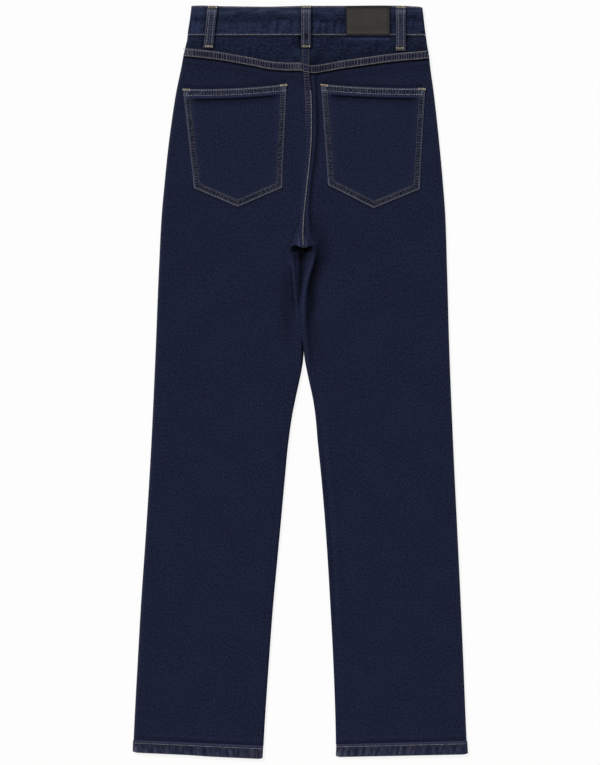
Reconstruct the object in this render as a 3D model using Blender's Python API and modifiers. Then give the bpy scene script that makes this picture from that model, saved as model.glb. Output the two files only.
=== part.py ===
"""Straight leg jeans, laid flat on their front with the back up.

The waist lies towards +Y and the hems towards -Y. +Z is up from the surface they lie on,
and the origin is the middle of that surface under them. Sizes here are millimetres, and MM
turns them into metres. A drop is a distance down the garment from the waist, and side is -1
for the leg at -X and 1 for the leg at +X. Each piece of cloth is a grid laid through the
middle of its thickness, which Solidify then thickens both ways.
"""

import math
from bisect import bisect_right
from collections import namedtuple

import bmesh
import bpy
import numpy as np

MM = 0.001
LEFT, RIGHT = -1, 1
SIDE_NAMES = {LEFT: "left", RIGHT: "right"}

# Driving dimensions
WAIST_Y = 540.6
CLOTH = 1.2
BAND = 2.0
TURN_UP = 2.4
LOOP = 1.7
FACING = 1.0
LEATHER = 1.2
GAP = 0.3
ROLLED_GAP = 0.6

BAND_TOP = -1.0
BAND_DROP = 42.0
FRONT_DIP = 8.0
HALF_WAIST = 160.0
CENTRE_X = 8.6
CROTCH_DROP = 351.0

# Heights of the middle of the cloth above the surface
LEG_BACK = 5.0
LEG_FRONT = CLOTH / 2
HEM_BACK = 4.9
BAND_FRONT = LOOP + GAP + BAND / 2
UNDERLAP = BAND_FRONT + BAND + GAP
WAIST_RISE = 1.2
CENTRE_RISE = 2.2
CENTRE_SPREAD = 75.0

# Rolled edges
ROLL = 5.0
WAIST_ROLL = 3.0
LIP = 4.0

# Pieces sewn on
STRIP_WIDTH = 10.4
LOOP_WIDTH = 13.8
MOUTH_HEM = 14.0
SCOOP_WIDTH = 62.0
SCOOP_DEPTH = 105.0
SHIELD_WIDTH = 38.0
SHIELD_DROP = 205.0
BUTTON_RADIUS = 8.5
BUTTON_STEPS = 24

# A Span is where a shape eases in, from nothing at its start to all of it at its end. Each
# is a pair of drops, but for FRONT_SETTLES, which counts down from the waistband.
Span = namedtuple("Span", "start end")

WAIST_SETTLES = Span(BAND_DROP, 120.0)
FRONT_SETTLES = Span(22.0, 82.0)
ROLL_GROWS = Span(BAND_DROP, 150.0)
SIDE_LIP_STARTS = Span(148.0, 160.0)
INSEAM_TURNS = Span(CROTCH_DROP - 14, CROTCH_DROP - 3)
CROTCH_OPENS = Span(CROTCH_DROP - 3.5, CROTCH_DROP - 0.5)

# The mound of the seat above the crotch
MOUND_HEIGHT = 1.2
MOUND_X = 3.0
MOUND_DROP = CROTCH_DROP - 15
MOUND_SPREAD_X = 45.0
MOUND_SPREAD_DROP = 50.0

# The cloth pulled up along the last stretch of the seat seam
TENT_HEIGHT = 1.5
TENT_RISES = Span(300.0, 345.0)
TENT_WIDENS = Span(320.0, 350.0)
TENT_NARROW = 3.5
TENT_WIDE = 15.0

# The ridge along each inner thigh, the trough beside it, and the hollow between the thighs
RIDGE_HEIGHT = {LEFT: 0.5, RIGHT: 1.1}
RIDGE_SPREAD = 3.2
TROUGH_DEPTH = {LEFT: 0.6, RIGHT: 1.5}
TROUGH_AWAY = 7.0
TROUGH_SPREAD = 4.0
THIGH_FOLDS_RISE = Span(340.0, 356.0)
THIGH_FOLDS_FADE = Span(400.0, 500.0)
HOLLOW_FILLS = Span(440.0, 380.0)
HOLLOW_WIDENS = Span(372.0, 352.0)
HOLLOW_NARROW = 0.25
HOLLOW_WIDE = 0.55

# The long crease beside the seat seam
CREASE_DEPTH = 1.3
CREASE_AWAY = 4.5
CREASE_SPREAD = 4.0
CREASE_RISES = Span(95.0, 150.0)
CREASE_FADES = Span(285.0, 335.0)

Edge = namedtuple("Edge", "drop left right")
Seam = namedtuple("Seam", "drop x width")
Yoke = namedtuple("Yoke", "away drop")
Corner = namedtuple("Corner", "x drop")
Patch = namedtuple("Patch", "mouth_outer mouth_inner heel_outer tip heel_inner")
BeltLoop = namedtuple("BeltLoop", "name top_x foot_x foot_drop")

# The outer faces of the side seams
SIDE_SEAMS = (
    Edge(-2, -156.4, 175.8),
    Edge(20, -159.0, 178.2),
    Edge(42, -162.2, 180.7),
    Edge(72, -168.3, 185.6),
    Edge(121, -178.0, 191.8),
    Edge(164, -184.8, 196.8),
    Edge(207, -190.4, 201.2),
    Edge(250, -194.8, 205.1),
    Edge(294, -198.9, 208.5),
    Edge(380, -203.5, 211.5),
    Edge(496, -208.2, 214.8),
    Edge(654, -215.7, 221.3),
    Edge(769, -222.9, 226.9),
    Edge(942, -233.7, 234.6),
    Edge(1050, -239.5, 239.0),
    Edge(1083, -240.9, 240.9),
)

# The seam down the middle of the back, and the width of the lap sewn over it
SEAT_SEAM = (
    Seam(0, 8.6, 10.4),
    Seam(62, 8.9, 10.4),
    Seam(89, 9.8, 10.4),
    Seam(121, 11.6, 10.4),
    Seam(161, 12.3, 10.2),
    Seam(193, 12.0, 9.8),
    Seam(229, 9.5, 9.0),
    Seam(265, 6.2, 8.0),
    Seam(298, 3.2, 7.0),
    Seam(332, 2.0, 6.2),
    Seam(351, 2.9, 6.0),
)

# The faces of the two legs towards each other
INSEAMS = (
    Edge(351, 2.75, 3.05),
    Edge(380, 2.5, 2.8),
    Edge(403, 1.0, 1.3),
    Edge(429, -0.4, -0.1),
    Edge(455, 1.2, 1.5),
    Edge(481, 3.4, 3.9),
    Edge(496, 4.3, 5.5),
    Edge(510, 3.9, 7.0),
    Edge(525, 1.6, 9.8),
    Edge(539, -1.3, 12.8),
    Edge(568, -7.6, 19.0),
    Edge(589, -11.7, 22.3),
    Edge(626, -17.0, 26.3),
    Edge(683, -22.6, 31.2),
    Edge(741, -27.9, 35.9),
    Edge(799, -33.3, 39.9),
    Edge(856, -38.6, 43.2),
    Edge(943, -45.2, 47.8),
    Edge(1051, -52.3, 51.4),
    Edge(1083, -54.0, 51.8),
)

# How far the ridge of each inner thigh stands from the line where the legs meet
THIGH_RIDGES = (
    Edge(351, 14.5, 15.3),
    Edge(368, 14.0, 11.5),
    Edge(389, 10.4, 7.8),
    Edge(408, 7.2, 6.0),
    Edge(428, 5.0, 5.2),
    Edge(460, 5.0, 5.0),
    Edge(1083, 5.0, 5.0),
)

# The yoke seam falls towards the middle of the back
YOKE_SEAM = (
    Yoke(0, 90.3),
    Yoke(20, 89.3),
    Yoke(45, 86.6),
    Yoke(85, 80.2),
    Yoke(130, 73.6),
    Yoke(190, 67.0),
)

# The hem's upper edge and its foot, each a straight line from the side seam to the inseam
HEM_LINES = {
    LEFT: (Corner(-240.0, 1056.0), Corner(-54.0, 1064.3)),
    RIGHT: (Corner(240.0, 1058.8), Corner(52.0, 1063.6)),
}
HEM_FEET = {
    LEFT: (Corner(-240.0, 1073.8), Corner(-54.0, 1082.4)),
    RIGHT: (Corner(240.0, 1076.4), Corner(52.0, 1080.2)),
}

PATCHES = {
    LEFT: Patch(
        mouth_outer=Corner(-169.9, 120.1),
        mouth_inner=Corner(-19.4, 112.6),
        heel_outer=Corner(-153.9, 261.1),
        tip=Corner(-89.6, 287.7),
        heel_inner=Corner(-26.2, 260.4),
    ),
    RIGHT: Patch(
        mouth_outer=Corner(180.9, 118.8),
        mouth_inner=Corner(29.4, 112.6),
        heel_outer=Corner(172.7, 262.8),
        tip=Corner(105.8, 289.6),
        heel_inner=Corner(39.7, 256.6),
    ),
}
PATCH_THIN = 0.6
MOUTH_SAG = 3.0

BACK_LOOPS = (
    BeltLoop("belt_loop_back_left", -126.0, -132.0, 61.0),
    BeltLoop("belt_loop_back_centre", 8.6, 8.6, 61.0),
    BeltLoop("belt_loop_back_right", 144.7, 142.8, 63.0),
)
FRONT_LOOPS = (
    BeltLoop("belt_loop_front_left", -95.0, -97.0, 61.0),
    BeltLoop("belt_loop_front_right", 105.0, 107.0, 61.0),
)
LABEL_SPAN = (66.8, 128.6)
LABEL_DROPS = (0.0, 41.0)
BUTTON_AT = Corner(5.0, 27.0)

# Grid lines across a panel. An edge line is a distance in from the panel's edge, and a share
# is a part of its width from the outer edge to the inner one.
ROLL_LINES = (0.0, 0.08, 0.75, 2.5, 5.0)
BACK_SHARES = (0.16, 0.32, 0.48, 0.63, 0.76)
INNER_LINES = (30.0, 22.5, 18.0, 14.5, 11.0, 7.8, 5.0, 2.5, 0.75, 0.08, 0.0)
FRONT_SHARES = (0.35, 0.7)
LIP_LINES = (0.0, 0.06, 0.6, 2.0, 4.0)
LAP_OUTER_LINES = (1.4, 2.5, 5.0)
LAP_INNER_LINES = (*INNER_LINES[:6], STRIP_WIDTH / 2 + GAP + 0.2)
FACING_SHARES = (0.0, 0.35, 0.7, 1.0)
ACROSS_STRIP = (-0.5, 0.0, 0.5)
ACROSS_SEAT_LAP = (-0.5, -0.2, 0.2, 0.5)
ACROSS_PATCH = tuple(k / 8 for k in range(9))

# Grid lines down a panel. The first row of a panel follows the seam above it and its last
# row follows the hem, and the rows between bend less and less.
BACK_DROPS = (
    *(90, 112, 140, 180, 225, 265, 295, 318, 334, 343, 347.5, 350.5, 353, 357, 363, 371, 381),
    *(393, 407, 424, 445, 470, 496, 515, 540, 575, 640, 740, 860, 980, 1030, 1060),
)
FRONT_DROPS = (
    *(46, 78, 108, 131, 146, 151, 165, 200, 260, 320, 343, 347.5, 350.5, 362, 380, 404, 430),
    *(455, 480, 496, 512, 530, 560, 600, 660, 750, 860, 980, 1030, 1060),
)
BACK_STRAIGHTENS = Span(BACK_DROPS[0], 200.0)
FRONT_STRAIGHTENS = Span(FRONT_DROPS[0], 151.0)
HEM_BENDS = Span(980.0, BACK_DROPS[-1])
YOKE_SHARES = (0.0, 0.35, 0.7, 1.0)
FACING_DROPS = (43, 64, 85, 106, 127, 146)
FACING_STRAIGHTENS = Span(FACING_DROPS[0], 110.0)
SHIELD_SHARES = (0.0, 0.2, 0.4, 0.6, 0.8, 1.0)
BAND_SHARES = (0.0, 0.33, 0.67, 1.0)
SEAT_LAP_DROPS = (62, 76, 90, 110, 135, 160, 185, 210, 235, 260, 285, 305, 320, 332, 341, 347)
BACK_LOOP_SHARES = (0.0, 0.14, 0.32, 0.5, 0.64, 0.72, 0.8, 0.9, 1.0)
FRONT_LOOP_SHARES = (0.0, 0.5, 1.0)
HEM_SHARES = (0.0, 0.5, 1.0)
PATCH_SHARES = (0.25, 0.45, 0.65, 0.85, 1.0)

# Stations along the waistband, as shares of the half width from the middle, and the angles
# at which a piece that turns over an edge is read
BAND_START = (0.08, -0.06, -0.2, -0.35, -0.5, -0.65, -0.8, -0.9)
BAND_BACK = tuple(k / 10 for k in range(-9, 10))
BAND_END = (0.85, 0.7, 0.55, 0.4, 0.3)
BAND_STEPS_UP = 0.24
BAND_UNDERLAP = (0.18, 0.08, -0.02, -0.13)
TURN_ANGLES = tuple(math.radians(angle) for angle in range(0, 181, 36))
HEM_UNDER = (0.8, 0.5, 0.2)
HEM_OVER = (0.0, 0.15, 0.3, 0.5, 0.7, 0.85)


def curve(table, column):
    """A smooth curve through one column of a table, read at a value of its first column."""
    at = [float(row[0]) for row in table]
    values = [float(getattr(row, column)) for row in table]
    slopes = np.gradient(values, at)

    def read(where):
        where = min(max(where, at[0]), at[-1])
        k = min(bisect_right(at, where) - 1, len(at) - 2)
        step = at[k + 1] - at[k]
        t = (where - at[k]) / step
        ends = values[k] + (values[k + 1] - values[k]) * t * t * (3 - 2 * t)
        return ends + t * (1 - t) * step * ((1 - t) * slopes[k] - t * slopes[k + 1])

    return read


side_face = {LEFT: curve(SIDE_SEAMS, "left"), RIGHT: curve(SIDE_SEAMS, "right")}
leg_face = {LEFT: curve(INSEAMS, "left"), RIGHT: curve(INSEAMS, "right")}
thigh_ridge = {LEFT: curve(THIGH_RIDGES, "left"), RIGHT: curve(THIGH_RIDGES, "right")}
seat_line = curve(SEAT_SEAM, "x")
lap_width = curve(SEAT_SEAM, "width")
yoke_fall = curve(YOKE_SEAM, "drop")


def mix(start, end, share):
    return start + (end - start) * share


def ease(value, span):
    """From 0 at the span's start to 1 at its end, level at both."""
    t = min(max((value - span.start) / (span.end - span.start), 0.0), 1.0)
    return t * t * (3 - 2 * t)


def bell(distance, spread):
    return math.exp(-((distance / spread) ** 2))


def quarter(share):
    """A quarter circle from upright at 0 to level at 1."""
    share = min(max(share, 0.0), 1.0)
    return math.sqrt(1 - (1 - share) ** 2)


def place(x, drop, z):
    """A point in metres."""
    return (x * MM, (WAIST_Y - drop) * MM, z * MM)


# Where the panels' edges run


def crotch_share(drop):
    """0 where the two halves are sewn together, 1 below the crotch."""
    return ease(drop, CROTCH_OPENS)


def outer_edge(side, drop):
    return side_face[side](drop) - side * CLOTH / 2


def inner_edge(side, drop):
    if drop < CROTCH_DROP:
        face = seat_line(drop) + side * GAP / 2
    else:
        face = leg_face[side](drop)
    return face + side * ease(drop, INSEAM_TURNS) * CLOTH / 2


def yoke_drop(x):
    return yoke_fall(abs(x - CENTRE_X))


def front_dip(x):
    return FRONT_DIP * max(0.0, 1 - (x / HALF_WAIST) ** 2)


def front_top(x):
    """The drop of the front panels' upper edge."""
    return BAND_DROP + front_dip(x) + 1.5 * GAP


def line_drop(ends, x):
    """The drop at x of the straight line through two corners."""
    first, last = ends
    return mix(first.drop, last.drop, (x - first.x) / (last.x - first.x))


def scoop(drop):
    """How far the front pocket's curved edge stands in from the side seam."""
    share = (drop - BAND_DROP - FRONT_DIP / 2) / SCOOP_DEPTH
    if share >= 1:
        return 0.0
    return SCOOP_WIDTH * math.sqrt(1 - max(share, 0.0) ** 2)


# Heights of the middle of the cloth


def back_level(x, drop):
    rise = 1 - ease(drop, WAIST_SETTLES)
    waist = rise * (WAIST_RISE + CENTRE_RISE * bell(x - CENTRE_X, CENTRE_SPREAD))
    mound = bell(x - MOUND_X, MOUND_SPREAD_X) * bell(drop - MOUND_DROP, MOUND_SPREAD_DROP)
    return LEG_BACK + waist + MOUND_HEIGHT * mound


def front_level(x, drop):
    below_band = drop - BAND_DROP - front_dip(x)
    return mix(BAND_FRONT, LEG_FRONT, ease(below_band, FRONT_SETTLES))


def joint_level(x, drop):
    """The height at which front and back meet along a rolled edge."""
    return (back_level(x, drop) + front_level(x, drop)) / 2


def tent(away, drop):
    width = mix(TENT_NARROW, TENT_WIDE, ease(drop, TENT_WIDENS))
    height = TENT_HEIGHT * ease(drop, TENT_RISES) * (1 - crotch_share(drop))
    return height * bell(away, width)


def thigh_folds(side, away, drop):
    share = ease(drop, THIGH_FOLDS_RISE) * (1 - ease(drop, THIGH_FOLDS_FADE))
    past_ridge = away - thigh_ridge[side](drop) - CLOTH / 2
    up = RIDGE_HEIGHT[side] * bell(past_ridge, RIDGE_SPREAD)
    down = TROUGH_DEPTH[side] * bell(past_ridge - TROUGH_AWAY, TROUGH_SPREAD)
    return share * (up - down)


def seat_crease(side, away, drop):
    if side == LEFT:
        return 0.0
    share = ease(drop, CREASE_RISES) * (1 - ease(drop, CREASE_FADES))
    past_lap = away - lap_width(drop) / 2
    return -CREASE_DEPTH * share * bell(past_lap - CREASE_AWAY, CREASE_SPREAD)


def thigh_hollow(drop):
    """1 where the cloth lies flat at the bottom of the hollow between the thighs."""
    return ease(drop, HOLLOW_FILLS)


def thigh_roll(side, away, drop):
    """From 0 at the line where the legs meet to 1 on the ridge."""
    share = away / thigh_ridge[side](drop)
    floor = Span(mix(HOLLOW_NARROW, HOLLOW_WIDE, ease(drop, HOLLOW_WIDENS)), 1.0)
    return mix(quarter(share), ease(share, floor), thigh_hollow(drop))


def back_height(side, x, drop):
    away = abs(x - inner_edge(side, drop))
    folds = tent(away, drop) + thigh_folds(side, away, drop) + seat_crease(side, away, drop)
    top = back_level(x, drop) + folds
    low = joint_level(x, drop) + ROLLED_GAP / 2
    inner = 1 - crotch_share(drop) * (1 - thigh_roll(side, away, drop))
    top = mix(low + thigh_hollow(drop) * CLOTH / 2, top, inner)
    roll = mix(WAIST_ROLL, ROLL, ease(drop, ROLL_GROWS))
    return mix(low, top, quarter(abs(x - outer_edge(side, drop)) / roll))


def front_height(side, x, drop):
    level = front_level(x, drop)
    lip = joint_level(x, drop) - ROLLED_GAP / 2
    from_side = abs(x - outer_edge(side, drop))
    from_inseam = abs(x - inner_edge(side, drop))
    at_side = ease(drop, SIDE_LIP_STARTS) * (1 - quarter(from_side / LIP))
    at_inseam = crotch_share(drop) * (1 - quarter(from_inseam / LIP))
    return mix(level, lip, max(at_side, at_inseam))


def facing_height(side, x, drop):
    """A facing and the fly shield lie behind the front, so these heights are above it."""
    return front_level(x, drop) + CLOTH / 2 + GAP + FACING / 2


def shield_height(side, x, drop):
    return front_level(x, drop) + CLOTH + GAP


def over_back(x, drop, height):
    """A height above the upper face of the back, whichever half x is on."""
    side = LEFT if x < seat_line(drop) else RIGHT
    return back_height(side, x, drop) + CLOTH / 2 + GAP + height


# Making meshes


def material(name, colour, roughness, metallic=0.0):
    made = bpy.data.materials.new(name)
    made.use_nodes = True
    shader = made.node_tree.nodes["Principled BSDF"]
    shader.inputs["Base Color"].default_value = (*colour, 1.0)
    shader.inputs["Roughness"].default_value = roughness
    shader.inputs["Metallic"].default_value = metallic
    made.diffuse_color = (*colour, 1.0)
    return made


def add_object(name, mesh, finish, collection):
    mesh.materials.append(finish)
    mesh.shade_smooth()
    mesh.set_sharp_from_angle(angle=math.radians(40))
    made = bpy.data.objects.new(name, mesh)
    collection.objects.link(made)
    return made


def grid_mesh(name, rows, closed=False):
    """A grid bent through rows of points, and each vertex's row.

    Its first and last columns are sewn together if it is closed.
    """
    across, down = len(rows[0]) - 1, len(rows) - 1
    bm = bmesh.new()
    bmesh.ops.create_grid(bm, x_segments=across, y_segments=down, size=1.0)
    row_of = [round((1 - vert.co.y) / 2 * down) for vert in bm.verts]
    for vert, row in zip(bm.verts, row_of):
        vert.co = rows[row][round((vert.co.x + 1) / 2 * across)]
    if closed:
        bmesh.ops.remove_doubles(bm, verts=bm.verts, dist=GAP * MM / 100)
    mesh = bpy.data.meshes.new(name)
    bm.to_mesh(mesh)
    bm.free()
    return mesh, row_of


def sheet(name, rows, thickness, finish, collection, closed=False, thin_rows=None):
    """A piece of cloth: a grid given its thickness both ways, or upwards from thin rows.

    An open grid faces up, because its rows are turned to run towards +X.
    """
    if not closed and rows[0][0][0] > rows[0][-1][0]:
        rows = [row[::-1] for row in rows]
    mesh, row_of = grid_mesh(name, rows, closed)
    made = add_object(name, mesh, finish, collection)
    solid = made.modifiers.new("Thickness", "SOLIDIFY")
    solid.thickness = thickness * MM
    solid.offset = 0.0
    solid.use_even_offset = True
    solid.use_quality_normals = True
    if thin_rows is not None:
        add_thin_rows(made, row_of, thin_rows, solid)


def add_thin_rows(made, row_of, shares, solid):
    """Each row of the grid gets its own share of the thickness, upwards from the grid."""
    group = made.vertex_groups.new(name="thickness")
    for index, row in enumerate(row_of):
        group.add([index], shares[row], "REPLACE")
    solid.vertex_group = group.name
    solid.thickness_vertex_group = 0.0
    solid.offset = 1.0


# The panels. A grid's column is a share of the panel's width and a shift in from that, and
# each of its rows has a key, from which a row function gives the row's drop at x.


def columns(outer_lines, shares, inner_lines):
    outer = [(0.0, line) for line in outer_lines]
    middle = [(share, 0.0) for share in shares]
    return outer + middle + [(1.0, -line) for line in inner_lines]


def column_x(side, column, drop):
    share, shift = column
    return mix(outer_edge(side, drop), inner_edge(side, drop), share) - side * shift


def front_column_x(side, column, drop):
    """As column_x, but the outer edge follows the front pocket's scoop."""
    share, shift = column
    outer = outer_edge(side, drop) - side * scoop(drop)
    return mix(outer, inner_edge(side, drop), share) - side * shift


def meet(side, column, key, row_drop, line_x):
    """The x and drop at which a column's line and a row cross."""
    drop = row_drop(side, key, CENTRE_X)
    for _ in range(6):
        x = line_x(side, column, drop)
        drop = row_drop(side, key, x)
    return x, drop


def panel(side, lines, keys, row_drop, height, line_x=column_x):
    rows = []
    for key in keys:
        row = []
        for column in lines:
            x, drop = meet(side, column, key, row_drop, line_x)
            row.append(place(x, drop, height(side, x, drop)))
        rows.append(row)
    return rows


def hem_bend(side, drop, x):
    above_hem = line_drop(HEM_LINES[side], x) - GAP
    return ease(drop, HEM_BENDS) * (above_hem - HEM_BENDS.end)


def back_row(side, drop, x):
    below_yoke = yoke_drop(x) + GAP / 2
    top_bend = (1 - ease(drop, BACK_STRAIGHTENS)) * (below_yoke - BACK_STRAIGHTENS.start)
    return drop + top_bend + hem_bend(side, drop, x)


def front_row(side, drop, x):
    top_bend = (1 - ease(drop, FRONT_STRAIGHTENS)) * (front_top(x) - FRONT_STRAIGHTENS.start)
    return drop + top_bend + hem_bend(side, drop, x)


def yoke_row(side, share, x):
    return mix(BAND_DROP + GAP, yoke_drop(x) - GAP / 2, share)


def lap_row(side, across, x):
    return yoke_drop(x) + across * STRIP_WIDTH


def lap_height(side, x, drop):
    return over_back(x, drop, CLOTH / 2)


def make_back(side, finish, collection):
    lines = columns(ROLL_LINES, BACK_SHARES, INNER_LINES)
    rows = panel(side, lines, BACK_DROPS, back_row, back_height)
    sheet(f"back_{SIDE_NAMES[side]}", rows, CLOTH, finish, collection)


def make_yoke(side, finish, collection):
    lines = columns(ROLL_LINES, BACK_SHARES, INNER_LINES)
    rows = panel(side, lines, YOKE_SHARES, yoke_row, back_height)
    sheet(f"yoke_{SIDE_NAMES[side]}", rows, CLOTH, finish, collection)


def make_yoke_lap(side, finish, collection):
    lines = columns(LAP_OUTER_LINES, BACK_SHARES, LAP_INNER_LINES)
    rows = panel(side, lines, ACROSS_STRIP, lap_row, lap_height)
    sheet(f"yoke_seam_{SIDE_NAMES[side]}", rows, CLOTH, finish, collection)


def make_front(side, finish, collection):
    lines = columns(LIP_LINES, FRONT_SHARES, reversed(LIP_LINES))
    rows = panel(side, lines, FRONT_DROPS, front_row, front_height, front_column_x)
    sheet(f"front_{SIDE_NAMES[side]}", rows, CLOTH, finish, collection)


def facing_row(side, drop, x):
    bend = front_top(x) - BAND_DROP
    return drop + (1 - ease(drop, FACING_STRAIGHTENS)) * bend


def facing_column_x(side, share, drop):
    """From just inside the side seam to behind the edge of the scoop."""
    clear = mix(4.5, 2.0, ease(drop, FACING_STRAIGHTENS))
    return outer_edge(side, drop) - side * mix(clear, scoop(drop) + 10, share)


def make_facing(side, finish, collection):
    """The cloth that shows inside the front pocket's mouth."""
    rows = panel(
        side, FACING_SHARES, FACING_DROPS, facing_row, facing_height, facing_column_x
    )
    sheet(f"front_pocket_facing_{SIDE_NAMES[side]}", rows, FACING, finish, collection)


def shield_row(side, share, x):
    return mix(front_top(x) + GAP / 2, SHIELD_DROP, share)


def shield_column_x(side, across, drop):
    return CENTRE_X + across * SHIELD_WIDTH


def make_shield(finish, collection):
    """The strip of cloth behind the front opening."""
    rows = panel(
        RIGHT, ACROSS_STRIP, SHIELD_SHARES, shield_row, shield_height, shield_column_x
    )
    sheet("fly_shield", rows, CLOTH, finish, collection)


def seat_lap_row(side, drop, x):
    return drop


def seat_lap_column_x(side, across, drop):
    return seat_line(drop) + across * lap_width(drop)


def make_seat_lap(finish, collection):
    rows = panel(
        RIGHT, ACROSS_SEAT_LAP, SEAT_LAP_DROPS, seat_lap_row, lap_height, seat_lap_column_x
    )
    sheet("seat_seam", rows, CLOTH, finish, collection)


# The waistband: one strip that starts at its buttoned end, runs round and ends as the underlap


def band_turn(side, level):
    """Stations over the edge at a side, from the front to the back: (u, height, back share)."""
    stations = []
    for angle in TURN_ANGLES:
        back = (1 - math.cos(angle)) / 2
        stations.append((side * (1 + math.sin(angle)), mix(BAND_FRONT, level, back), back))
    return stations


def band_stations():
    """(u, height, share of the back) along the strip, where u is a share of the half width.

    A height of None is read from the back.
    """
    level = back_level(-HALF_WAIST, 0)
    stations = [(u, BAND_FRONT, 0.0) for u in BAND_START]
    stations += band_turn(LEFT, level)
    stations += [(u, None, 1.0) for u in BAND_BACK]
    stations += reversed(band_turn(RIGHT, level))
    stations += [(u, BAND_FRONT, 0.0) for u in BAND_END]
    stations.append((BAND_STEPS_UP, mix(BAND_FRONT, UNDERLAP, 0.5), 0.0))
    return stations + [(u, UNDERLAP, 0.0) for u in BAND_UNDERLAP]


def make_band(finish, collection):
    turn_radius = (back_level(-HALF_WAIST, 0) - BAND_FRONT) / 2
    rows = []
    for share in BAND_SHARES:
        level = mix(BAND_TOP, BAND_DROP, share)
        left = side_face[LEFT](level) + BAND / 2 + turn_radius
        right = side_face[RIGHT](level) - BAND / 2 - turn_radius
        row = []
        for u, height, back in band_stations():
            flat = min(max(u, -1.0), 1.0)
            x = mix(left, right, (flat + 1) / 2) + (u - flat) * turn_radius
            z = back_level(x, 0) if height is None else height
            row.append(place(x, level + (1 - back) * front_dip(x), z))
        rows.append(row)
    sheet("waistband", rows, BAND, finish, collection)


# The patch pockets, belt loops, label and button


def patch_point(patch, across, down):
    """A point of the pocket, from its mouth down, and from its outer side across."""
    mouth_x = mix(patch.mouth_outer.x, patch.mouth_inner.x, across)
    sag = MOUTH_SAG * 4 * across * (1 - across)
    mouth_drop = mix(patch.mouth_outer.drop, patch.mouth_inner.drop, across) + sag
    heel = patch.heel_outer if across < 0.5 else patch.heel_inner
    share = 1 - abs(across - 0.5) * 2
    foot_x = mix(heel.x, patch.tip.x, share)
    foot_drop = mix(heel.drop, patch.tip.drop, share)
    return mix(mouth_x, foot_x, down), mix(mouth_drop, foot_drop, down)


def make_patch(side, finish, collection):
    """The mouth is hemmed, so its first rows have the whole thickness."""
    patch = PATCHES[side]
    hem = MOUTH_HEM / (patch.tip.drop - patch.mouth_outer.drop)
    downs = (0.0, hem / 2, hem, hem + hem / 8, *PATCH_SHARES)
    rows = []
    for down in downs:
        row = []
        for across in ACROSS_PATCH:
            x, drop = patch_point(patch, across, down)
            row.append(place(x, drop, over_back(x, drop, 0.0)))
        rows.append(row)
    shares = [1.0 if down <= hem else PATCH_THIN for down in downs]
    name = f"back_pocket_{SIDE_NAMES[side]}"
    sheet(name, rows, CLOTH / PATCH_THIN, finish, collection, thin_rows=shares)


def make_back_loop(loop, finish, collection):
    """It crosses the waistband and steps down to the yoke below it."""
    step_down = Span(BAND_DROP, BAND_DROP + 10)
    rows = []
    for share in BACK_LOOP_SHARES:
        drop = mix(0.0, loop.foot_drop, share)
        under = mix(BAND, CLOTH, ease(drop, step_down)) / 2
        row = []
        for across in ACROSS_STRIP:
            x = mix(loop.top_x, loop.foot_x, share) + across * LOOP_WIDTH
            row.append(place(x, drop, back_level(x, drop) + under + GAP + LOOP / 2))
        rows.append(row)
    sheet(loop.name, rows, LOOP, finish, collection)


def make_front_loop(loop, finish, collection):
    rows = []
    for share in FRONT_LOOP_SHARES:
        row = []
        for across in ACROSS_STRIP:
            x = mix(loop.top_x, loop.foot_x, share) + across * LOOP_WIDTH
            row.append(place(x, mix(front_dip(x), loop.foot_drop, share), LOOP / 2))
        rows.append(row)
    sheet(loop.name, rows, LOOP, finish, collection)


def make_label(finish, collection):
    rows = []
    for drop in np.linspace(*LABEL_DROPS, 3):
        row = []
        for x in np.linspace(*LABEL_SPAN, 6):
            row.append(place(x, drop, back_level(x, drop) + BAND / 2 + GAP + LEATHER / 2))
        rows.append(row)
    sheet("label", rows, LEATHER, finish, collection)


def make_button(finish, collection):
    """A turned cap, face down on the surface under the waistband's buttoned end."""
    rim, shoulder = BUTTON_RADIUS, 1.2
    profile = (
        (0, LOOP),
        (rim - shoulder, LOOP),
        (rim, LOOP - shoulder / 2),
        (rim, shoulder / 2),
        (rim - shoulder, 0),
        (0, 0),
    )
    mesh = bpy.data.meshes.new("button")
    points = [(radius * MM, 0.0, z * MM) for radius, z in profile]
    mesh.from_pydata(points, [(k, k + 1) for k in range(len(points) - 1)], [])
    made = add_object("button", mesh, finish, collection)
    made.location = place(BUTTON_AT.x, BUTTON_AT.drop, 0.0)
    turn = made.modifiers.new("Turn", "SCREW")
    turn.steps = BUTTON_STEPS
    turn.render_steps = BUTTON_STEPS
    turn.use_merge_vertices = True
    turn.merge_threshold = 0.00001


# The hems: a ring of turned-up cloth round each leg's foot


def ring_stations(low, high):
    """(share of the flat width, height, bulge out of it) round a flattened ring."""
    radius = (high - low) / 2
    angles = TURN_ANGLES[:-1]
    outer = [(0.0, low + radius * (1 - math.cos(a)), -math.sin(a) * radius) for a in angles]
    inner = [(1.0, high - radius * (1 - math.cos(a)), math.sin(a) * radius) for a in angles]
    under = [(u, low, 0.0) for u in HEM_UNDER]
    over = [(u, high, 0.0) for u in HEM_OVER]
    return under + outer + over + inner + [(1.0, low, 0.0), under[0]]


def make_hem(side, finish, collection):
    low = TURN_UP / 2
    inset = TURN_UP / 2 + (HEM_BACK - low) / 2
    rows = []
    for share in HEM_SHARES:
        row = []
        for u, z, bulge in ring_stations(low, HEM_BACK):
            x = side * HALF_WAIST
            for _ in range(5):
                drop = mix(line_drop(HEM_LINES[side], x), line_drop(HEM_FEET[side], x), share)
                outer = side_face[side](drop) - side * inset
                inner = leg_face[side](drop) + side * inset
                x = mix(outer, inner, u) - side * bulge
            row.append(place(x, drop, z))
        rows.append(row)
    sheet(f"hem_{SIDE_NAMES[side]}", rows, TURN_UP, finish, collection, closed=True)


def clear_scene():
    for found in list(bpy.data.objects):
        bpy.data.objects.remove(found)


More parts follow.
